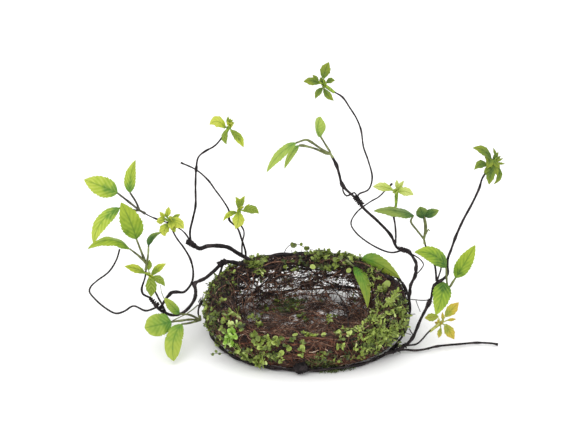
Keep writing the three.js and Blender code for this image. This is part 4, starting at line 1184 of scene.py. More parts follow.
# %% Sprays
SPRAYS = {
    "spray_left_top": (GREY_STALK, [(145, 213.4, 34), (139.5, 210.3, 31)], [
        ([(129, 202, 28, 0.3), (117.4, 193, 24)], (84, 179.6, 10), 25, BROAD_LEAF,
         {"via": (100, 185.6, 17), "arch": 3, "wave": 0.8}),
        ([(136, 202, 34), (130, 192.6, 36)], (135.6, 160, 40), 16, BROAD_LEAF,
         {"via": (130.8, 175.5, 38), "turn": 15, "twist": 30, "fold": 16, "wave": 0.5, "taper": 0.2}),
        ([(131.8, 210.3, 28, 0.3), (119.4, 208, 22)], (93.6, 244, 0), 18, BROAD_LEAF,
         {"via": (102, 224, 13), "arch": 7, "turn": 12, "fold": 16, "wave": 0.8}),
    ]),
    "spray_left_middle": (GREEN_STALK, [(145.8, 270, 13.5), (146.4, 264, 14)], [
        ([(143, 256, 15, 0.3), (136.4, 239, 16)], (121, 202.4, 12), 27, MID_LEAF,
         {"via": (130.3, 221, 15), "arch": 3, "wave": 0.9, "tint": 0.2}),
        ([(140, 257, 12, 0.3), (130, 249, 8)], (87.6, 249, -10), 17, MID_LEAF,
         {"via": (109, 242.5, 1), "arch": 4, "turn": 48, "fold": 16, "wave": 0.7, "tint": 0.5}),
        ([(148, 256, 12), (148.6, 245.6, 12)], (161.6, 232.4, 10), 9, DARK_LEAF,
         {"via": (152.5, 237.5, 12), "turn": 30, "fold": 25, "wave": 0.3}),
    ]),
    "spray_left_foot": (GREEN_STALK, [(199.5, 316, -5), (200.5, 320, -10)], [
        ([(190, 319.5, -20), (181, 320.6, -32, 0.3), (171.4, 321.8, -38)], (144.5, 328, -52), 26, FOOT_LEAF,
         {"fold": 6, "wave": 1.5, "arch": 3, "blunt": 0.8}),
        ([(189.6, 323, -26), (181.8, 324.2, -38)], (173.8, 361.2, -75), 20, FOOT_LEAF,
         {"via": (173.5, 341, -57), "arch": 3, "wave": 1.2, "blunt": 0.8, "tint": 0.8}),
        ([(190, 315, -12), (179.4, 313.8, -14)], (164.2, 297.8, -12), 12.5, FOOT_LEAF,
         {"turn": 25, "fold": 14, "wave": 0.4, "tint": 0.3}),
    ]),
    "spray_right_top": (GREEN_STALK, [(333, 158, 29), (330.5, 154, 31)], [
        ([(330, 151.8, 31), (327, 147, 32), (320.8, 136.8, 34)], (320.6, 116.5, 38), 20, SOFT_LEAF,
         {"via": (317.5, 129, 35), "turn": -35, "roll": 80, "fold": 10, "wave": 0.2, "blunt": 0.7,
          "tint": 0.2}),
        ([(326.4, 152, 30), (318, 146.7, 24), (310.8, 141.8, 20, 0.6), (306, 139.8, 18), (296, 142.9, 14)],
         (266.6, 172.3, 0), 12.5, SOFT_LEAF,
         {"via": (279.5, 154.5, 7), "turn": 15, "fold": 18, "wave": 0.8, "tint": 0.3}),
        ([(326, 153.5, 31), (316, 149, 29), (303, 145.6, 26, 0.5), (298.8, 145.5, 25)],
         (284.5, 168.8, 18), 8.5, SOFT_LEAF,
         {"via": (290.5, 155.5, 22), "fold": 22, "wave": 0.7, "tint": 0.2}),
    ]),
    "spray_right_middle": (GREEN_STALK, [(424.8, 244, 5.6), (424, 239, 6.4)], [
        ([(417, 230.3, 2), (410.8, 221, -2), (413.6, 215.3, -2)], (373.6, 211, -10), 19, DARK_LEAF,
         {"via": (394, 210.4, -6), "turn": 50, "fold": 14, "wave": 0.5, "tint": 0.6}),
        ([(425.1, 228, 8, 0.3), (423.8, 218.5, 8)], (420, 206.6, 4), 15, DARK_LEAF,
         {"turn": -10, "fold": 10, "wave": 0.4, "tint": -0.5}),
        ([(426.2, 227, 8), (424.2, 215.8, 8)], (439, 210.2, 2), 11, DARK_LEAF,
         {"fold": 14, "wave": 0.4, "tint": 0.0}),
    ]),
    "spray_right_foot": (GREEN_STALK, [(443.5, 284.3, -5), (447.5, 287.4, -5)], [
        ([(446.5, 277, -8, 0.3), (446.1, 267.5, -10)], (414.2, 252.2, -24), 20, MID_LEAF,
         {"via": (432.5, 254.6, -16), "arch": 2, "fold": 18, "wave": 0.8}),
        ([(450, 286.5, -7), (452.5, 282.5, -9, 0.3), (455.6, 277.8, -12)], (475.3, 245, -16), 19, MID_LEAF,
         {"arch": 3, "wave": 0.7, "tint": 0.2}),
        ([(445.6, 285.4, -9), (443.3, 282.2, -12)], (435.6, 315.6, -38), 26, MID_LEAF,
         {"via": (441, 298.6, -24), "arch": 2, "wave": 0.9, "taper": 0.35}),
    ]),
    "rim_leaf_outer": (GREEN_STALK, [(356, 262, 84), (362, 258.5, 84)], [
        ([], (400.4, 278.5, 36), 24, RIM_LEAF,
         {"via": (380.8, 264.8, 62), "arch": 2, "turn": 14, "fold": 16, "taper": 0.3, "wave": 0.3,
          "tint": 0.3}),
    ]),
    "rim_leaf_inner": (GREEN_STALK, [(345.8, 260.2, 82), (353.8, 266.5, 75)], [
        ([], (367.4, 308, 12), 16, RIM_LEAF,
         {"via": (364.3, 283.5, 47), "arch": 2, "fold": 18, "taper": 0.15, "wave": 0.3, "tint": -0.2}),
    ]),
}
# Bare wires beside the sprays, that no leaf sits on
BARE_WIRES = {
    "spray_left_foot": [
        ([(198, 305, 8), (192, 310, -6), (186, 314, -18), (178, 318, -30), (171.4, 321.5, -38)], 0.7, 0.6),
        ([(163.8, 298.3, -12), (161.5, 292, -12), (160.4, 285, -12)], 0.45, 0.3),
    ],
    "spray_left_middle": [([(146.4, 264, 14), (148.5, 264, 15), (150, 264.8, 16, 0.5)], 0.8, 0.8)],
    "spray_right_middle": [
        ([(425, 236, 7), (426.6, 232, 9, 0.6), (428.4, 229.4, 10), (429.8, 231, 10)], 0.7, 0.5),
    ],
}
print(sum(len(leaves) for _, _, leaves in SPRAYS.values()), "broad leaves in", len(SPRAYS), "sprays")

# %% Put the sprays together
def make_spray(name, stalk_bark, sheath, leaves, dice):
    foot, top = [seen(*point) for point in sheath]
    strands = [vine([foot, foot.lerp(top, 0.5), top], 1.7, 1.3)]
    by_cloth = {}
    for stalk, tip, width, cloth, bends in leaves:
        route = [sheath[1], *stalk]
        if stalk:
            strands.append(wire(route, 1.4, 1.1))
        bends = dict(bends)
        tint = dice.uniform(-0.35, 0.35) + bends.pop("tint", 0)
        shape = bent(seen(*route[-1][:3]), seen(*tip), width, **bends)
        by_cloth.setdefault(cloth.name, []).append((shape, tint))
    strands += [wire(*bare) for bare in BARE_WIRES.get(name, ())]
    finish_piece(rods(name + "_stalks", strands, stalk_bark, detail=1), "vine", name)
    for i, (cloth, shapes) in enumerate(by_cloth.items()):
        blades = copies(f"{name}_blades_{i}", broad_leaf, shapes, bpy.data.materials[cloth])
        finish_piece(blades, "leaf", name)


dice = random.Random(41)
for name, (stalk_bark, sheath, leaves) in SPRAYS.items():
    make_spray(name, stalk_bark, sheath, leaves, dice)

# %% [markdown]
# Tufts of young leaves
#
# At the thin ends of the vines small leaves open in a star. Each one is its base, its tip and its width, and
# for some the place in the middle that they curve past. The last number is a tint: above 0 the leaf is
# yellower, and below 0 it is a deeper green.

# %% Tufts
TUFTS = {
    "whorl_left_inner": (YOUNG_LEAF, [(173.9, 231.5, 42.5), (171, 222.4, 45.4)], [
        ((167, 217, 46), (168.9, 206.6, 50), 6.5, None, 0),
        ((164.5, 218, 43), (159.5, 211.5, 42), 4.5, None, 0),
        ((165, 219.5, 43), (156.3, 221.7, 36), 8, None, -0.3),
        ((170, 224, 43), (165.4, 236.4, 36), 12, (164.5, 230, 39), 0),
        ((171.5, 221.5, 44), (183.7, 229, 38), 11.5, (178.5, 223.5, 42), 0.2),
        ((172, 218.5, 47), (180.5, 214.2, 52), 4.5, None, -1.6),
        ((170.5, 220, 45), (172, 229, 34), 8, None, -0.5),
        ((171.5, 219, 45), (181.6, 222, 42), 8, None, -0.4),
        ((168.5, 221, 46), (174.5, 217.4, 50), 8, None, 0.4),
        ((170, 221, 46), (175.4, 232.6, 38), 7, None, -1.0),
        ((167, 217.5, 45), (164.6, 213, 46), 3, None, -1.4)]),
    "whorl_left_low": (YOUNG_LEAF, [(151, 280.5, 10), (150, 275.5, 10)], [
        ((145, 273.2, 8), (124.2, 266.3, 0), 9.5, (135.5, 268.6, 4), -0.9),
        ((151.5, 275.5, 11), (166.2, 263.6, 14), 8, (158.3, 268.2, 13), -0.8),
        ((150, 276.3, 10), (151, 297, -2), 12, (151.2, 287, 3), -3.2),
        ((151.5, 278, 10), (165, 286.5, 2), 8.5, (159.2, 279.6, 7), -2.8),
        ((148.5, 270, 12), (149.5, 259.5, 16), 7, None, -2.4)]),
    "whorl_left_top": (YOUNG_LEAF, [(221.8, 139.6, 50), (230, 125.5, 50)], [
        ((225.3, 128, 49), (209.4, 124.8, 42), 12, (217.3, 121.5, 47), 0.9),
        ((227.5, 125, 52), (228.2, 115.9, 55), 3.5, None, -1.5),
        ((229, 123.5, 53), (234.8, 122.8, 52), 3, None, -2),
        ((229, 123.5, 53), (232.8, 119.5, 56), 3, None, -2),
        ((229, 123.5, 53), (230.8, 118.3, 56), 3, None, -1.5),
        ((230.5, 130, 50), (243.5, 147.5, 40), 9, (238.5, 138, 46), -1.5),
        ((227.7, 129, 50), (226.7, 144.5, 42), 7, (224.6, 137, 46), -3)]),
    "whorl_middle": (YOUNG_LEAF, [(240.2, 218, 66), (239, 209.5, 66)], [
        ((238.6, 210, 66), (235.3, 196.8, 70), 6.5, (238.6, 202.5, 68), -1.8),
        ((239, 210, 66), (244.9, 195.7, 70), 6.5, (241.2, 202.5, 68), -1.6),
        ((237.5, 213, 65), (223, 221.3, 56), 6, (229.5, 214, 61), -0.8),
        ((243.3, 211, 64), (258.8, 213.8, 58), 9.5, (252.3, 209.5, 61), -3.4),
        ((243.5, 210.5, 65), (249.9, 203.6, 64), 3.5, None, -2),
        ((238, 212, 64), (235.3, 229, 54), 14, (238.4, 220.5, 58), 0.3)]),
    "whorl_top": (OLIVE_LEAF, [(334.5, 92.5, 40), (324, 84.8, 41.5)], [
        ((323.4, 78.5, 43), (329.1, 62, 46), 11, (325.4, 70, 45), 0.3),
        ((320.5, 83.2, 41), (303.5, 81.8, 34), 9, (311.5, 81, 38), 0.2),
        ((318.5, 81.5, 42), (312.6, 74.8, 44), 5, None, 0),
        ((322, 84, 42), (320.8, 77, 46), 5, None, -0.3),
        ((326.4, 83, 41), (335, 80.8, 36), 6, (330.5, 80.4, 39), 0),
        ((322.9, 88, 40), (315.3, 98.9, 32), 6.5, (318.3, 92.5, 36), -0.2),
        ((323.8, 88.5, 40), (333.8, 100.6, 34), 7.5, (328, 95.2, 37), 0.3)]),
    "whorl_right_inner": (PALE_LEAF, [(395.9, 206.8, 16), (396.6, 190.8, 18)], [
        ((392.7, 190, 17), (372.6, 186.8, 10), 9.5, (382.5, 186.8, 13), 1.0),
        ((397.4, 191.5, 17), (413.7, 195.3, 10), 9.5, (406, 191.6, 13), 0.6),
        ((397, 189, 20), (396.8, 179.5, 24), 4.5, None, 0.3),
        ((398, 189, 20), (403.9, 180.4, 24), 4.5, None, 0.3),
        ((397.5, 189, 20), (400.4, 183, 25), 5, None, -0.5),
        ((399, 191, 18), (402.8, 186.6, 21), 4.5, None, -0.8)]),
    "whorl_right_low": (YELLOW_LEAF, [(429.5, 331.5, -44.6), (440, 323.6, -38)], [
        ((445.2, 316.5, -35), (458.9, 302.2, -28), 11, None, -0.15),
        ((445, 324.2, -38), (454.3, 339.4, -50), 10.5, None, -0.5),
        ((441, 328, -41), (438.5, 338, -54), 5.5, None, -1.2),
        ((438.5, 316.5, -37), (424.5, 318, -46), 9, None, -2.2),
        ((447, 320.3, -37), (456.2, 319, -36), 3.5, None, 0.4),
        ((443.2, 321.3, -36), (442.3, 311.8, -32), 3.5, None, 0)]),
    "whorl_right_top": (OLIVE_LEAF, [(485.5, 174.5, 20), (491.5, 163.5, 20)], [
        ((491.3, 160, 20), (472.3, 148, 12), 9, (483.3, 150.5, 16), -0.2),
        ((491.5, 158, 21), (487, 168.5, 14), 8, None, 0.2), ((493, 160, 20), (500, 168, 18), 6, None, 0.3),
        ((487.1, 165.8, 18), (474.2, 170, 8), 9, (480.5, 164.2, 13), -0.3),
        ((491.9, 166.7, 18), (489, 184.8, 10), 9, None, -0.2),
        ((496.7, 165.7, 19), (493.4, 184.3, 14), 6, (499.4, 176, 18), 0),
        ((496.7, 158.2, 22), (493.2, 147.6, 28), 3, None, -0.4),
        ((495, 162, 20), (503.4, 158.1, 20), 2.8, None, 0),
        ((495, 163, 20), (505.3, 163.9, 19), 2.8, None, 0),
        ((495, 161, 21), (500.9, 155.6, 23), 2.8, None, -0.3),
        ((492, 161, 22), (484.5, 156.5, 18), 6.5, None, 0.1),
        ((492, 165, 20), (483.5, 173, 14), 6, None, -0.2),
        ((493.5, 164, 20), (497.5, 175.5, 16), 6.5, None, 0.2),
        ((493, 160, 22), (498.5, 152, 26), 5, None, 0)]),
}
print(sum(len(leaves) for _, _, leaves in TUFTS.values()), "young leaves in", len(TUFTS), "tufts")

# %% [markdown]
# Each leaf is drawn a little wider than it is seen, because its halves fold back. Five tiny leaves fill the
# heart of each tuft, and two more stand behind it, so that it is full from every side.

# %% Put the tufts together
WIDER = 1.22
HEART_LEAVES = 5
HEART_WIDTH = 4.4
LEAVES_BEHIND = 2
BEHIND_WIDTH = 6


def make_tuft(name, cloth, sheath, leaves, dice):
    foot, top = [seen(*point) for point in sheath]
    shapes = []
    stems = [vine([foot, foot.lerp(top, 0.5), top], 1.6, 2.2)]
    for base, tip, width, via, tint in leaves:
        root, end = seen(*base), seen(*tip)
        bends = {"via": via, "arch": dice.uniform(0.2, 1), "fold": dice.uniform(8, 24), "wave": 0.3}
        shape = bent(root, end, width * WIDER, dice.uniform(-14, 14), **bends)
        shapes.append((shape, tint + dice.uniform(-0.3, 0.3)))
        if (root - top).length > 1.5 * MM:
            stems.append(vine([top, top.lerp(root, 0.6), root.lerp(end, 0.08)], 0.9, 0.7, spacing=1.2))
    for _ in range(HEART_LEAVES):
        way = random_way(dice) + TO_EYE * 0.7
        tip = top + way.normalized() * dice.uniform(4, 7) * MM
        shapes.append((bent(top, tip, HEART_WIDTH, dice.uniform(-60, 60), fold=25), dice.uniform(-0.6, 0.6)))
    for _ in range(LEAVES_BEHIND):
        way = Vector((dice.uniform(-0.7, 0.7), 1, dice.uniform(-0.4, 0.3))).normalized()
        tip = top + way * dice.uniform(8, 12) * MM
        shape = bent(top, tip, BEHIND_WIDTH, dice.uniform(-50, 50), fold=18, wave=0.3)
        shapes.append((shape, dice.uniform(-0.6, 0.3)))
    sheath_bark = SHEATH_YELLOW if cloth == YELLOW_LEAF else SHEATH_GREEN
    finish_piece(rods(name + "_collar", stems, sheath_bark, detail=1), "young_leaf", name)
    finish_piece(copies(name + "_blades", young_leaf, shapes, cloth), "young_leaf", name)


for name, (cloth, sheath, leaves) in TUFTS.items():
    make_tuft(name, cloth, sheath, leaves, dice)

# %% [markdown]
# Baby tears
#
# Thousands of small round leaves sit on hair-thin stems along the rim. One is modelled, a disc of two dozen
# faces, and copied. Every copy is cupped by its own amount, tilted its own way and has its own green.

# %% One round leaf
ROUND_THICKNESS = 0.3 * MM
bpy.ops.object.select_all(action="DESELECT")
bpy.ops.mesh.primitive_circle_add(vertices=8, radius=1, fill_type="NGON", location=(1, 0, 0), calc_uvs=True)
round_leaf = bpy.context.object
round_leaf.name = "round_leaf"
bpy.ops.object.transform_apply(location=True, rotation=False, scale=False)
bpy.ops.object.mode_set(mode="EDIT")
bpy.ops.mesh.select_all(action="SELECT")
bpy.ops.mesh.poke()
bpy.ops.object.mode_set(mode="OBJECT")
thicken(round_leaf, ROUND_THICKNESS)
print("a round leaf has", len(round_leaf.data.polygons), "faces")


def cupped(base, out, face, radius, cup, slim=1.0):
    """A function from the flat disc to a cupped leaf with its stalk end at base. Radius is in mm."""
    side = face.cross(out)
    size = radius * MM

    def place(point):
        x, y, thickness = point
        rise = cup * size * ((x - 1) ** 2 + y * y)
        return base + out * size * x + side * size * y * slim + face * (rise + thickness)

    return place


# %% [markdown]
# The leaves' places are given as the eye sees them, so the wall has to be found behind each place. A coarse
# net of known wall places gives the nearest one on the eye's side, and a few ever smaller steps bring it in.

# %% The wall behind a place in the picture
FIRST_STEP = 3.0
LAST_STEP = 0.3
NEARER_COUNTS = 70
net = []
for around in range(0, 360, 5):
    for about in range(-60, 200, 13):
        spot = on_wall(around, about)[0]
        net.append((in_picture(spot), spot.dot(TO_EYE), around, about))


def wall_under(x, y):
    """The two angles of the wall's place that is seen at (x, y)."""
    start = min(net, key=lambda entry: math.dist(entry[0], (x, y)) - NEARER_COUNTS * entry[1])
    around, about = start[2], start[3]
    size = FIRST_STEP
    while size > LAST_STEP:
        tries = [(around + i * size, about + 2 * j * size) for i in (-1, 0, 1) for j in (-1, 0, 1)]
        nearest = min(tries, key=lambda spot: math.dist(in_picture(on_wall(*spot)[0]), (x, y)))
        if nearest == (around, about):
            size /= 2
        around, about = nearest
    return around, about


def floor_under(x, y, height=4 * MM):
    """The place that is seen at (x, y), at a height above the table."""
    ray = seen(x, y, 0) - EYE
    return EYE + ray * ((height - EYE.z) / ray.z)


print("the wall under the front leaf:", [round(v) for v in wall_under(302, 348)])

# %% [markdown]
# Each bunch is its middle and half its spread in the picture, how many leaves, their radius in millimetres
# and how pale they are, from 0 to 1. Bunches on the floor of the hollow have a table of their own, and so do
# those that only the other sides show.

# %% Bunches of baby tears
BUNCHES = {
    "baby_tears_left_front": [
        (226, 317, 6, 3, 6, 3.2, 0.6), (236, 314, 3, 3, 3, 3.3, 0.65), (224, 325, 6, 3, 7, 3.0, 0.6),
        (229, 332, 5, 3, 9, 3.0, 0.8), (231, 338, 6, 4, 13, 3.0, 0.85), (241, 331, 3, 4, 4, 3.2, 0.55),
        (208, 322, 12, 10, 34, 2.3, 0.3), (214, 314, 8, 6, 15, 2.5, 0.4), (241, 349, 8, 5, 12, 2.6, 0.4),
        (221, 341, 6, 5, 10, 2.4, 0.45),
    ],
    "baby_tears_front": [
        (255, 341, 5, 3, 5, 3.4, 0.55), (262, 343, 5, 3, 5, 3.4, 0.6), (270, 341, 5, 4, 6, 3.4, 0.6),
        (277, 341, 3, 3, 3, 3.3, 0.55), (247, 351, 5, 3, 5, 3.6, 0.6), (253, 357, 5, 2, 4, 3.6, 0.65),
        (260, 357, 5, 3, 6, 3.6, 0.7), (268, 358, 4, 3, 4, 3.4, 0.6), (282.5, 352, 0.5, 0.5, 1, 3.8, 0.8),
        (283, 343, 2, 1, 3, 3.2, 0.6), (289.7, 348.3, 0.5, 0.5, 1, 3.4, 0.7),
        (302, 347.6, 0.5, 0.5, 1, 3.6, 0.85),
        (301, 351, 1, 1, 2, 2.6, 0.7), (295.5, 336.7, 0.5, 0.5, 1, 3.5, 0.75), (310, 336, 4, 3, 6, 3.5, 0.7),
        (277, 356, 8, 3, 8, 2.4, 0.4), (262, 350, 14, 7, 16, 2.3, 0.4), (290, 342, 12, 5, 8, 2.2, 0.4),
    ],
    "baby_tears_right_front": [
        (324, 331, 1, 1, 1, 3.8, 0.9), (341, 335, 6, 3, 8, 3.1, 0.7), (359, 333, 12, 5, 26, 3.1, 0.7),
        (366, 345, 13, 5, 36, 2.7, 0.45), (335, 354, 15, 4, 22, 2.4, 0.3), (345, 343, 8, 3, 7, 2.6, 0.5),
    ],
    "baby_tears_right": [
        (372, 316, 10, 8, 32, 3.0, 0.62), (388, 320, 16, 14, 100, 3.1, 0.55),
        (384, 335, 14, 8, 48, 3.0, 0.52),
        (400, 316, 6, 14, 38, 2.8, 0.4), (388, 287, 0.5, 0.5, 1, 5.4, 0.8), (385, 290, 4, 4, 6, 3.2, 0.65),
        (392, 301, 5, 4, 9, 3.7, 0.75), (395, 306, 2, 2, 4, 3.8, 0.85), (375, 277, 6, 8, 22, 2.4, 0.5),
        (398, 296, 6, 6, 10, 2.7, 0.35), (382, 296, 6, 6, 13, 2.9, 0.5),
    ],
    "baby_tears_back_right": [
        (312.6, 267.6, 0.3, 0.3, 1, 3.8, 0.95), (350, 270.7, 0.5, 0.5, 1, 3.4, 0.9),
        (337, 263, 3, 2, 5, 3.3, 0.8),
        (322, 256, 10, 5, 46, 2.7, 0.42), (345, 257, 10, 6, 48, 2.8, 0.48), (357, 250, 3, 2, 6, 2.4, 0.6),
        (350, 253, 7, 4, 18, 2.5, 0.5), (330, 268, 12, 4, 20, 2.4, 0.25), (366, 257, 5, 4, 16, 2.0, 0.25),
    ],
    "baby_tears_back_left": [
        (253, 264, 8, 5, 40, 2.7, 0.5), (266, 261, 5, 3, 10, 2.3, 0.3), (300, 259, 8, 4, 10, 2.2, 0.25),
        (290, 266, 8, 4, 8, 2.2, 0.25),
    ],
    "baby_tears_left": [
        (224, 272, 5, 5, 12, 2.6, 0.5), (213, 288, 6, 9, 28, 2.4, 0.42), (207, 300, 4, 7, 16, 2.3, 0.38),
        (232, 268, 4, 4, 8, 2.6, 0.6), (222, 304, 6, 7, 8, 2.3, 0.35), (228, 284, 6, 8, 7, 2.3, 0.25),
    ],
}
ON_FLOOR = {
    "baby_tears_left": [(264, 295, 1, 1, 2, 3.0, 0.75), (268, 299, 4, 3, 6, 2.3, 0.5),
                        (248, 321, 1, 1, 2, 3.0, 0.6), (260, 326, 1, 1, 2, 3.0, 0.6)],
    "baby_tears_right_front": [(330, 319, 1, 2, 3, 3.2, 0.8), (354, 299, 1, 1, 2, 3.0, 0.6)],
    "baby_tears_back_left": [(287, 304, 14, 8, 70, 1.9, 0.0), (288, 283.6, 2, 1, 3, 2.6, 0.5),
                             (270, 304, 24, 20, 18, 2.2, 0.2), (320, 306, 22, 16, 16, 2.2, 0.15)],
}
# Degrees round the nest and about its wall, their half spreads, and then as above
BEHIND = {
    "baby_tears_left": [(165, 30, 14, 40, 34, 2.4, 0.45), (192, -5, 12, 25, 22, 2.3, 0.4)],
    "baby_tears_back_left": [(128, 40, 14, 45, 40, 2.5, 0.5), (108, 10, 10, 30, 14, 2.4, 0.55)],
    "baby_tears_back_right": [(76, 20, 14, 40, 36, 2.5, 0.5), (52, 50, 12, 40, 30, 2.5, 0.55)],
    "baby_tears_right": [(20, 20, 16, 40, 40, 2.5, 0.45)],
}
TABLES = (BUNCHES, ON_FLOOR, BEHIND)
print(sum(len(bunches) for table in TABLES for bunches in table.values()), "bunches")

# %% [markdown]
# Most leaves grow in pairs on short stems that trail out of the twigs, and the biggest sit alone on a stalk
# of their own, so none hangs in the air. They face partly outwards and partly up to the light. At both sides
# of the nest they are slender, and in front and behind rounder.

# %% Sprigs
ROUNDNESS = {"baby_tears_right": 0.45, "baby_tears_right_front": 0.5, "baby_tears_left": 0.5}
USUAL_ROUNDNESS = 0.75
LEAVES_ON_SPRIG = 5
STEM_ROOT = 1.5 * MM  # how deep a stem starts under the wall's surface


def lone_leaf(dice, root, normal, size, pale):
    """A leaf that faces the eye, and its stalk."""
    jitter = random_way(dice)
    face = (normal * 0.5 + UP * 0.5 + TO_EYE * 1.2 + jitter * 0.8).normalized()
    out = random_way(dice)
    out = (out - face * out.dot(face)).normalized()
    base = root + normal * 3 * MM - out * size * MM
    keep_above(base, (size + 1) * 2 * MM)
    stalk = [
        (root - normal * STEM_ROOT, 0.32 * MM),
        ((root + base) / 2, 0.3 * MM),
        (base + out * size * 0.5 * MM, 0.2 * MM),
    ]
    return [(cupped(base, out, face, size, dice.uniform(0.1, 0.3), 0.85), pale - 0.12)], stalk


def grow_sprig(dice, root, normal, size, pale, roundness):
    """A trailing stem with leaves in pairs. Gives the leaves and the stem."""
    way = normal * 0.7 + random_way(dice)
    way = (way - normal * min(0, way.dot(normal))).normalized()
    length = dice.uniform(1.2, 3.2) * size * MM
    tip = root + way * length - UP * (0.2 * length)
    keep_above(tip, 2.2 * size * MM)
    middle = (root + tip) / 2 + normal * 1.2 * MM
    stem = vine([root - normal * STEM_ROOT, middle, tip], 0.36, 0.22, spacing=2)
    side = way.cross(normal).normalized()
    tone = pale + dice.uniform(-0.3, 0.25)
    leaves = []
    for i in range(LEAVES_ON_SPRIG):
        share = 0.3 + 0.175 * i
        base = root.lerp(middle, share * 2) if share < 0.5 else middle.lerp(tip, share * 2 - 1)
        jitter = random_way(dice)
        out = side * (1 if i % 2 else -1) + way * (0.4 if i < 4 else 2) + jitter * 0.6
        out.normalize()
        face = normal * 0.6 + UP * 0.5 + TO_EYE * 0.35 + jitter * 0.9
        face = (face - out * face.dot(out)).normalized()
        radius = size * dice.uniform(0.6, 1.15) * (1.1 - 0.3 * share)
        keep_above(base, (2.2 if out.z < 0 else 1.2) * radius * MM)
        slim = min(1.0, roundness * dice.uniform(0.7, 1.3))
        leaf = cupped(base, out, face, radius, dice.uniform(-0.25, 0.5), slim)
        leaves.append((leaf, tone + dice.uniform(-0.3, 0.26)))
    return leaves, stem


print("a sprig has", LEAVES_ON_SPRIG, "leaves")

# %% [markdown]
# A bunch of one is a lone leaf. Every other bunch has fewer sprigs than its count says, because each of them
# carries five leaves. The brightest leaves, at the left in front, are a mesh of their own.

# %% Place the leaves
SPRIG_SHARE = 0.62
BRIGHT_FROM = 0.75


def near(dice, middle, halves):
    """A place within half a spread of a middle, each way."""
    return [m + dice.uniform(-1, 1) * half for m, half in zip(middle, halves)]


def grow_bunch(dice, land, bunch, roundness):
    """A bunch's sprigs. Land turns a place in its table into one on the nest."""
    x, y, half_x, half_y, count, size, pale = bunch
    sprigs = 1 if count == 1 else max(2, round(count * SPRIG_SHARE))
    spots = [land(*near(dice, (x, y), (half_x, half_y))) for _ in range(sprigs)]
    if sprigs == 1:
        return [lone_leaf(dice, *spots[0], size, pale)]
    return [grow_sprig(dice, *spot, size, pale, roundness) for spot in spots]


def land_on_wall(x, y):
    return on_wall(*wall_under(x, y))


def land_on_floor(x, y):
    return onto_nest(floor_under(x, y), 0)


dice = random.Random(23)
for name in BUNCHES:
    roundness = ROUNDNESS.get(name, USUAL_ROUNDNESS)
    grown, bright = [], []
    for table, land in zip(TABLES, (land_on_wall, land_on_floor, on_wall)):
        for bunch in table.get(name, ()):
            is_bright = name == "baby_tears_left_front" and bunch[-1] > BRIGHT_FROM
            (bright if is_bright else grown).extend(grow_bunch(dice, land, bunch, roundness))
    for kind, sprigs, green in (("", grown, ROUND_LEAF), ("bright_", bright, BRIGHT_ROUND_LEAF)):
        blades = [blade for leaves, _ in sprigs for blade in leaves]
        if blades:
            finish_piece(copies(f"{name}_{kind}leaves", round_leaf, blades, green), "baby_tears", name)
            print(len(blades), "leaves")
    finish_piece(rods(name + "_stalks", [stalk for _, stalk in grown + bright], RED_TWIG), "twig", name)

# %% [markdown]
# Two tendrils leave the nest, one from the back rim and one from the left foot. A few dark vines lie in the
# rim as well, a rough bundle of them runs down the right side, and the ends of thin wires bristle from most.

# %% Tendrils
TENDRILS = {
    "tendril_back": (
        "baby_tears_back_right",
        [(284, 254, 84), (286, 249, 86), (291, 244.5, 88), (297, 244, 88), (305, 247.5, 86), (313, 250, 84),
         (328, 251, 82)],
        0.5,
    ),
    "tendril_left": (
        "baby_tears_left_front",
        [(236, 348, -62), (224, 353, -68), (216, 353.5, -70), (210, 354, -70)],
        0.4,
    ),
}
TENDRIL_LEAVES = {
    "tendril_back": [(295.4, 245, 88, 4.0), (291.5, 244.5, 88, 2.4), (301, 245, 87, 2.4),
                     (305.5, 247, 86, 3.2), (307.5, 249, 86, 2.8)],
    "tendril_left": [(213.5, 353.5, -70, 2.2), (216.5, 352, -70, 2.2), (219, 354, -69, 1.8)],
}
for name, (node, route, radius) in TENDRILS.items():
    finish_piece(rods(name, [wire(route, radius, radius * 0.6)], WIRE_BARK, detail=1), "vine", node)
    shapes = []
    for x, y, behind, size in TENDRIL_LEAVES[name]:
        base = seen(x, y, behind)
        out = Vector((dice.uniform(-1, 1), 0, dice.uniform(-1, 1))).normalized()
        face = (TO_EYE - out * TO_EYE.dot(out)).normalized()
        shape = cupped(base - out * size * 0.5 * MM, out, face, size, 0.2, 0.8)
        shapes.append((shape, 0.35 + dice.uniform(-0.1, 0.2)))
    finish_piece(copies(name + "_leaves", round_leaf, shapes, ROUND_LEAF), "baby_tears", node)

# %% Vines in the rim
RIM_VINES = [
    ([(265, 253), (272, 252.5), (285, 254), (296, 254), (304, 255.5)], 1.8, 1.2),
    ([(368, 270), (377, 273.5), (387, 278), (396, 284), (403, 291), (408.6, 295)], 1.6, 1.4),
    ([(238, 264), (246, 266), (256, 266), (268, 268)], 1.2, 0.8),
    ([(250, 272), (262, 268), (280, 266), (300, 268), (322, 270)], 1.0, 0.7),
    ([(404, 291), (408, 299), (410, 309), (409.5, 320), (406, 331)], 1.2, 1.0),
    ([(406, 294), (407, 302), (407.5, 312), (407, 322), (403, 333)], 1.0, 0.8),
    ([(402, 296), (405, 305), (408, 316), (406, 326), (401, 337)], 0.9, 0.7),
    ([(270, 279), (285, 276), (300, 277.5), (318, 274), (330, 277)], 0.7, 0.5),
    ([(281, 286), (292, 284.5), (301, 287)], 0.7, 0.5),
    ([(331, 286), (338, 294), (343, 304), (345, 316)], 0.7, 0.5),
]
BRISTLY = (1, 1, 2, 4, 4, 5, 6, 0)  # the rows whose vines carry wire ends, some of them more often
BRISTLES = 110
strands = []
for route, thick, thin in RIM_VINES:
    spots = [on_wall(*wall_under(x, y), 1.4 * MM)[0] for x, y in route]
    strands.append(vine(spots, thick, thin))
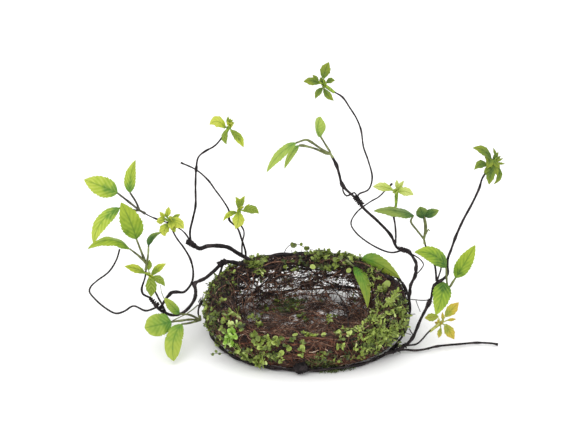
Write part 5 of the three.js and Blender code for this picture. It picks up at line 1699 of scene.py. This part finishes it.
for _ in range(BRISTLES):
    route, thick, thin = RIM_VINES[dice.choice(BRISTLY)]
    x, y = dice.choice(route)
    place, normal = on_wall(*wall_under(x + dice.uniform(-4, 4), y + dice.uniform(-4, 4)), 1.5 * MM)
    way = (normal + random_way(dice, 0.9)).normalized()
    bend = random_way(dice) * MM
    tip = place + way * dice.uniform(2.5, 7) * MM
    strands.append(vine([place, place.lerp(tip, 0.5) + bend, tip], 0.45, 0.2, spacing=1.5))
finish_piece(rods("rim_vines", strands, VINE_BARK, detail=1), "vine", "nest")

# %% [markdown]
# Dry moss sits between the leaves, hangs from the wall below the hoop in front, and lies on the hollow's
# floor. Its strands are short and thickest in their middle.

# %% Moss
MOSS = [(320, 362, 14, 3, 130), (334, 366, 12, 3, 90), (208, 322, 12, 9, 120), (219, 288, 12, 14, 120),
        (388, 326, 18, 14, 170), (336, 260, 24, 9, 140), (253, 265, 9, 5, 60), (366, 347, 14, 6, 90),
        (262, 352, 18, 7, 80), (228, 338, 12, 10, 70), (372, 268, 8, 12, 60), (352, 333, 18, 6, 60)]
HANGING = 90
ON_THE_FLOOR = 70
LEAST_HEIGHT = 0.5 * MM
tufts = []


def add_tuft(root, tip, at_root=0.3, in_middle=0.42):
    tufts.append([(root, at_root * MM), ((root + tip) / 2, in_middle * MM), (tip, 0.12 * MM)])


for x, y, half_x, half_y, count in MOSS:
    for _ in range(count):
        spot = wall_under(*near(dice, (x, y), (half_x, half_y)))
        root, normal = on_wall(*spot, 0.5 * MM)
        way = (normal * 0.5 + random_way(dice)).normalized()
        tip = root + way * dice.uniform(3, 6.5) * MM
        keep_above(tip, LEAST_HEIGHT)
        add_tuft(root, tip)
for _ in range(HANGING):
    root, normal = on_wall(dice.uniform(279, 304), dice.uniform(-48, -30), dice.uniform(5, 8.5) * MM)
    keep_above(root, LEAST_HEIGHT)
    tip = root + Vector((dice.uniform(-3, 3), dice.uniform(-4, 0), dice.uniform(-4, 1.5))) * MM
    keep_above(tip, LEAST_HEIGHT)
    add_tuft(root, tip)
for _ in range(ON_THE_FLOOR):
    root, normal = land_on_floor(*near(dice, (287, 304), (14, 8)))
    tip = root + Vector((dice.uniform(-4, 4), dice.uniform(-4, 4), dice.uniform(1, 5))) * MM
    add_tuft(root, tip, 0.35, 0.45)
finish_piece(rods("moss", tufts, MOSS_GREEN), "baby_tears", "baby_tears_right_front")

# %% [markdown]
# Finish
#
# The three master leaves were only patterns, so they go.

# %% Take the patterns away and finish
for pattern in (broad_leaf, young_leaf, round_leaf):
    bpy.data.objects.remove(pattern, do_unlink=True)
VISUAL_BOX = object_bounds()
for axis in range(3):
    low = (CAD_BOX[0][axis] - VISUAL_BOX[0][axis]) / MM
    high = (VISUAL_BOX[1][axis] - CAD_BOX[1][axis]) / MM
    print("XYZ"[axis], "stands out by", round(low, 1), "and", round(high, 1), "mm")
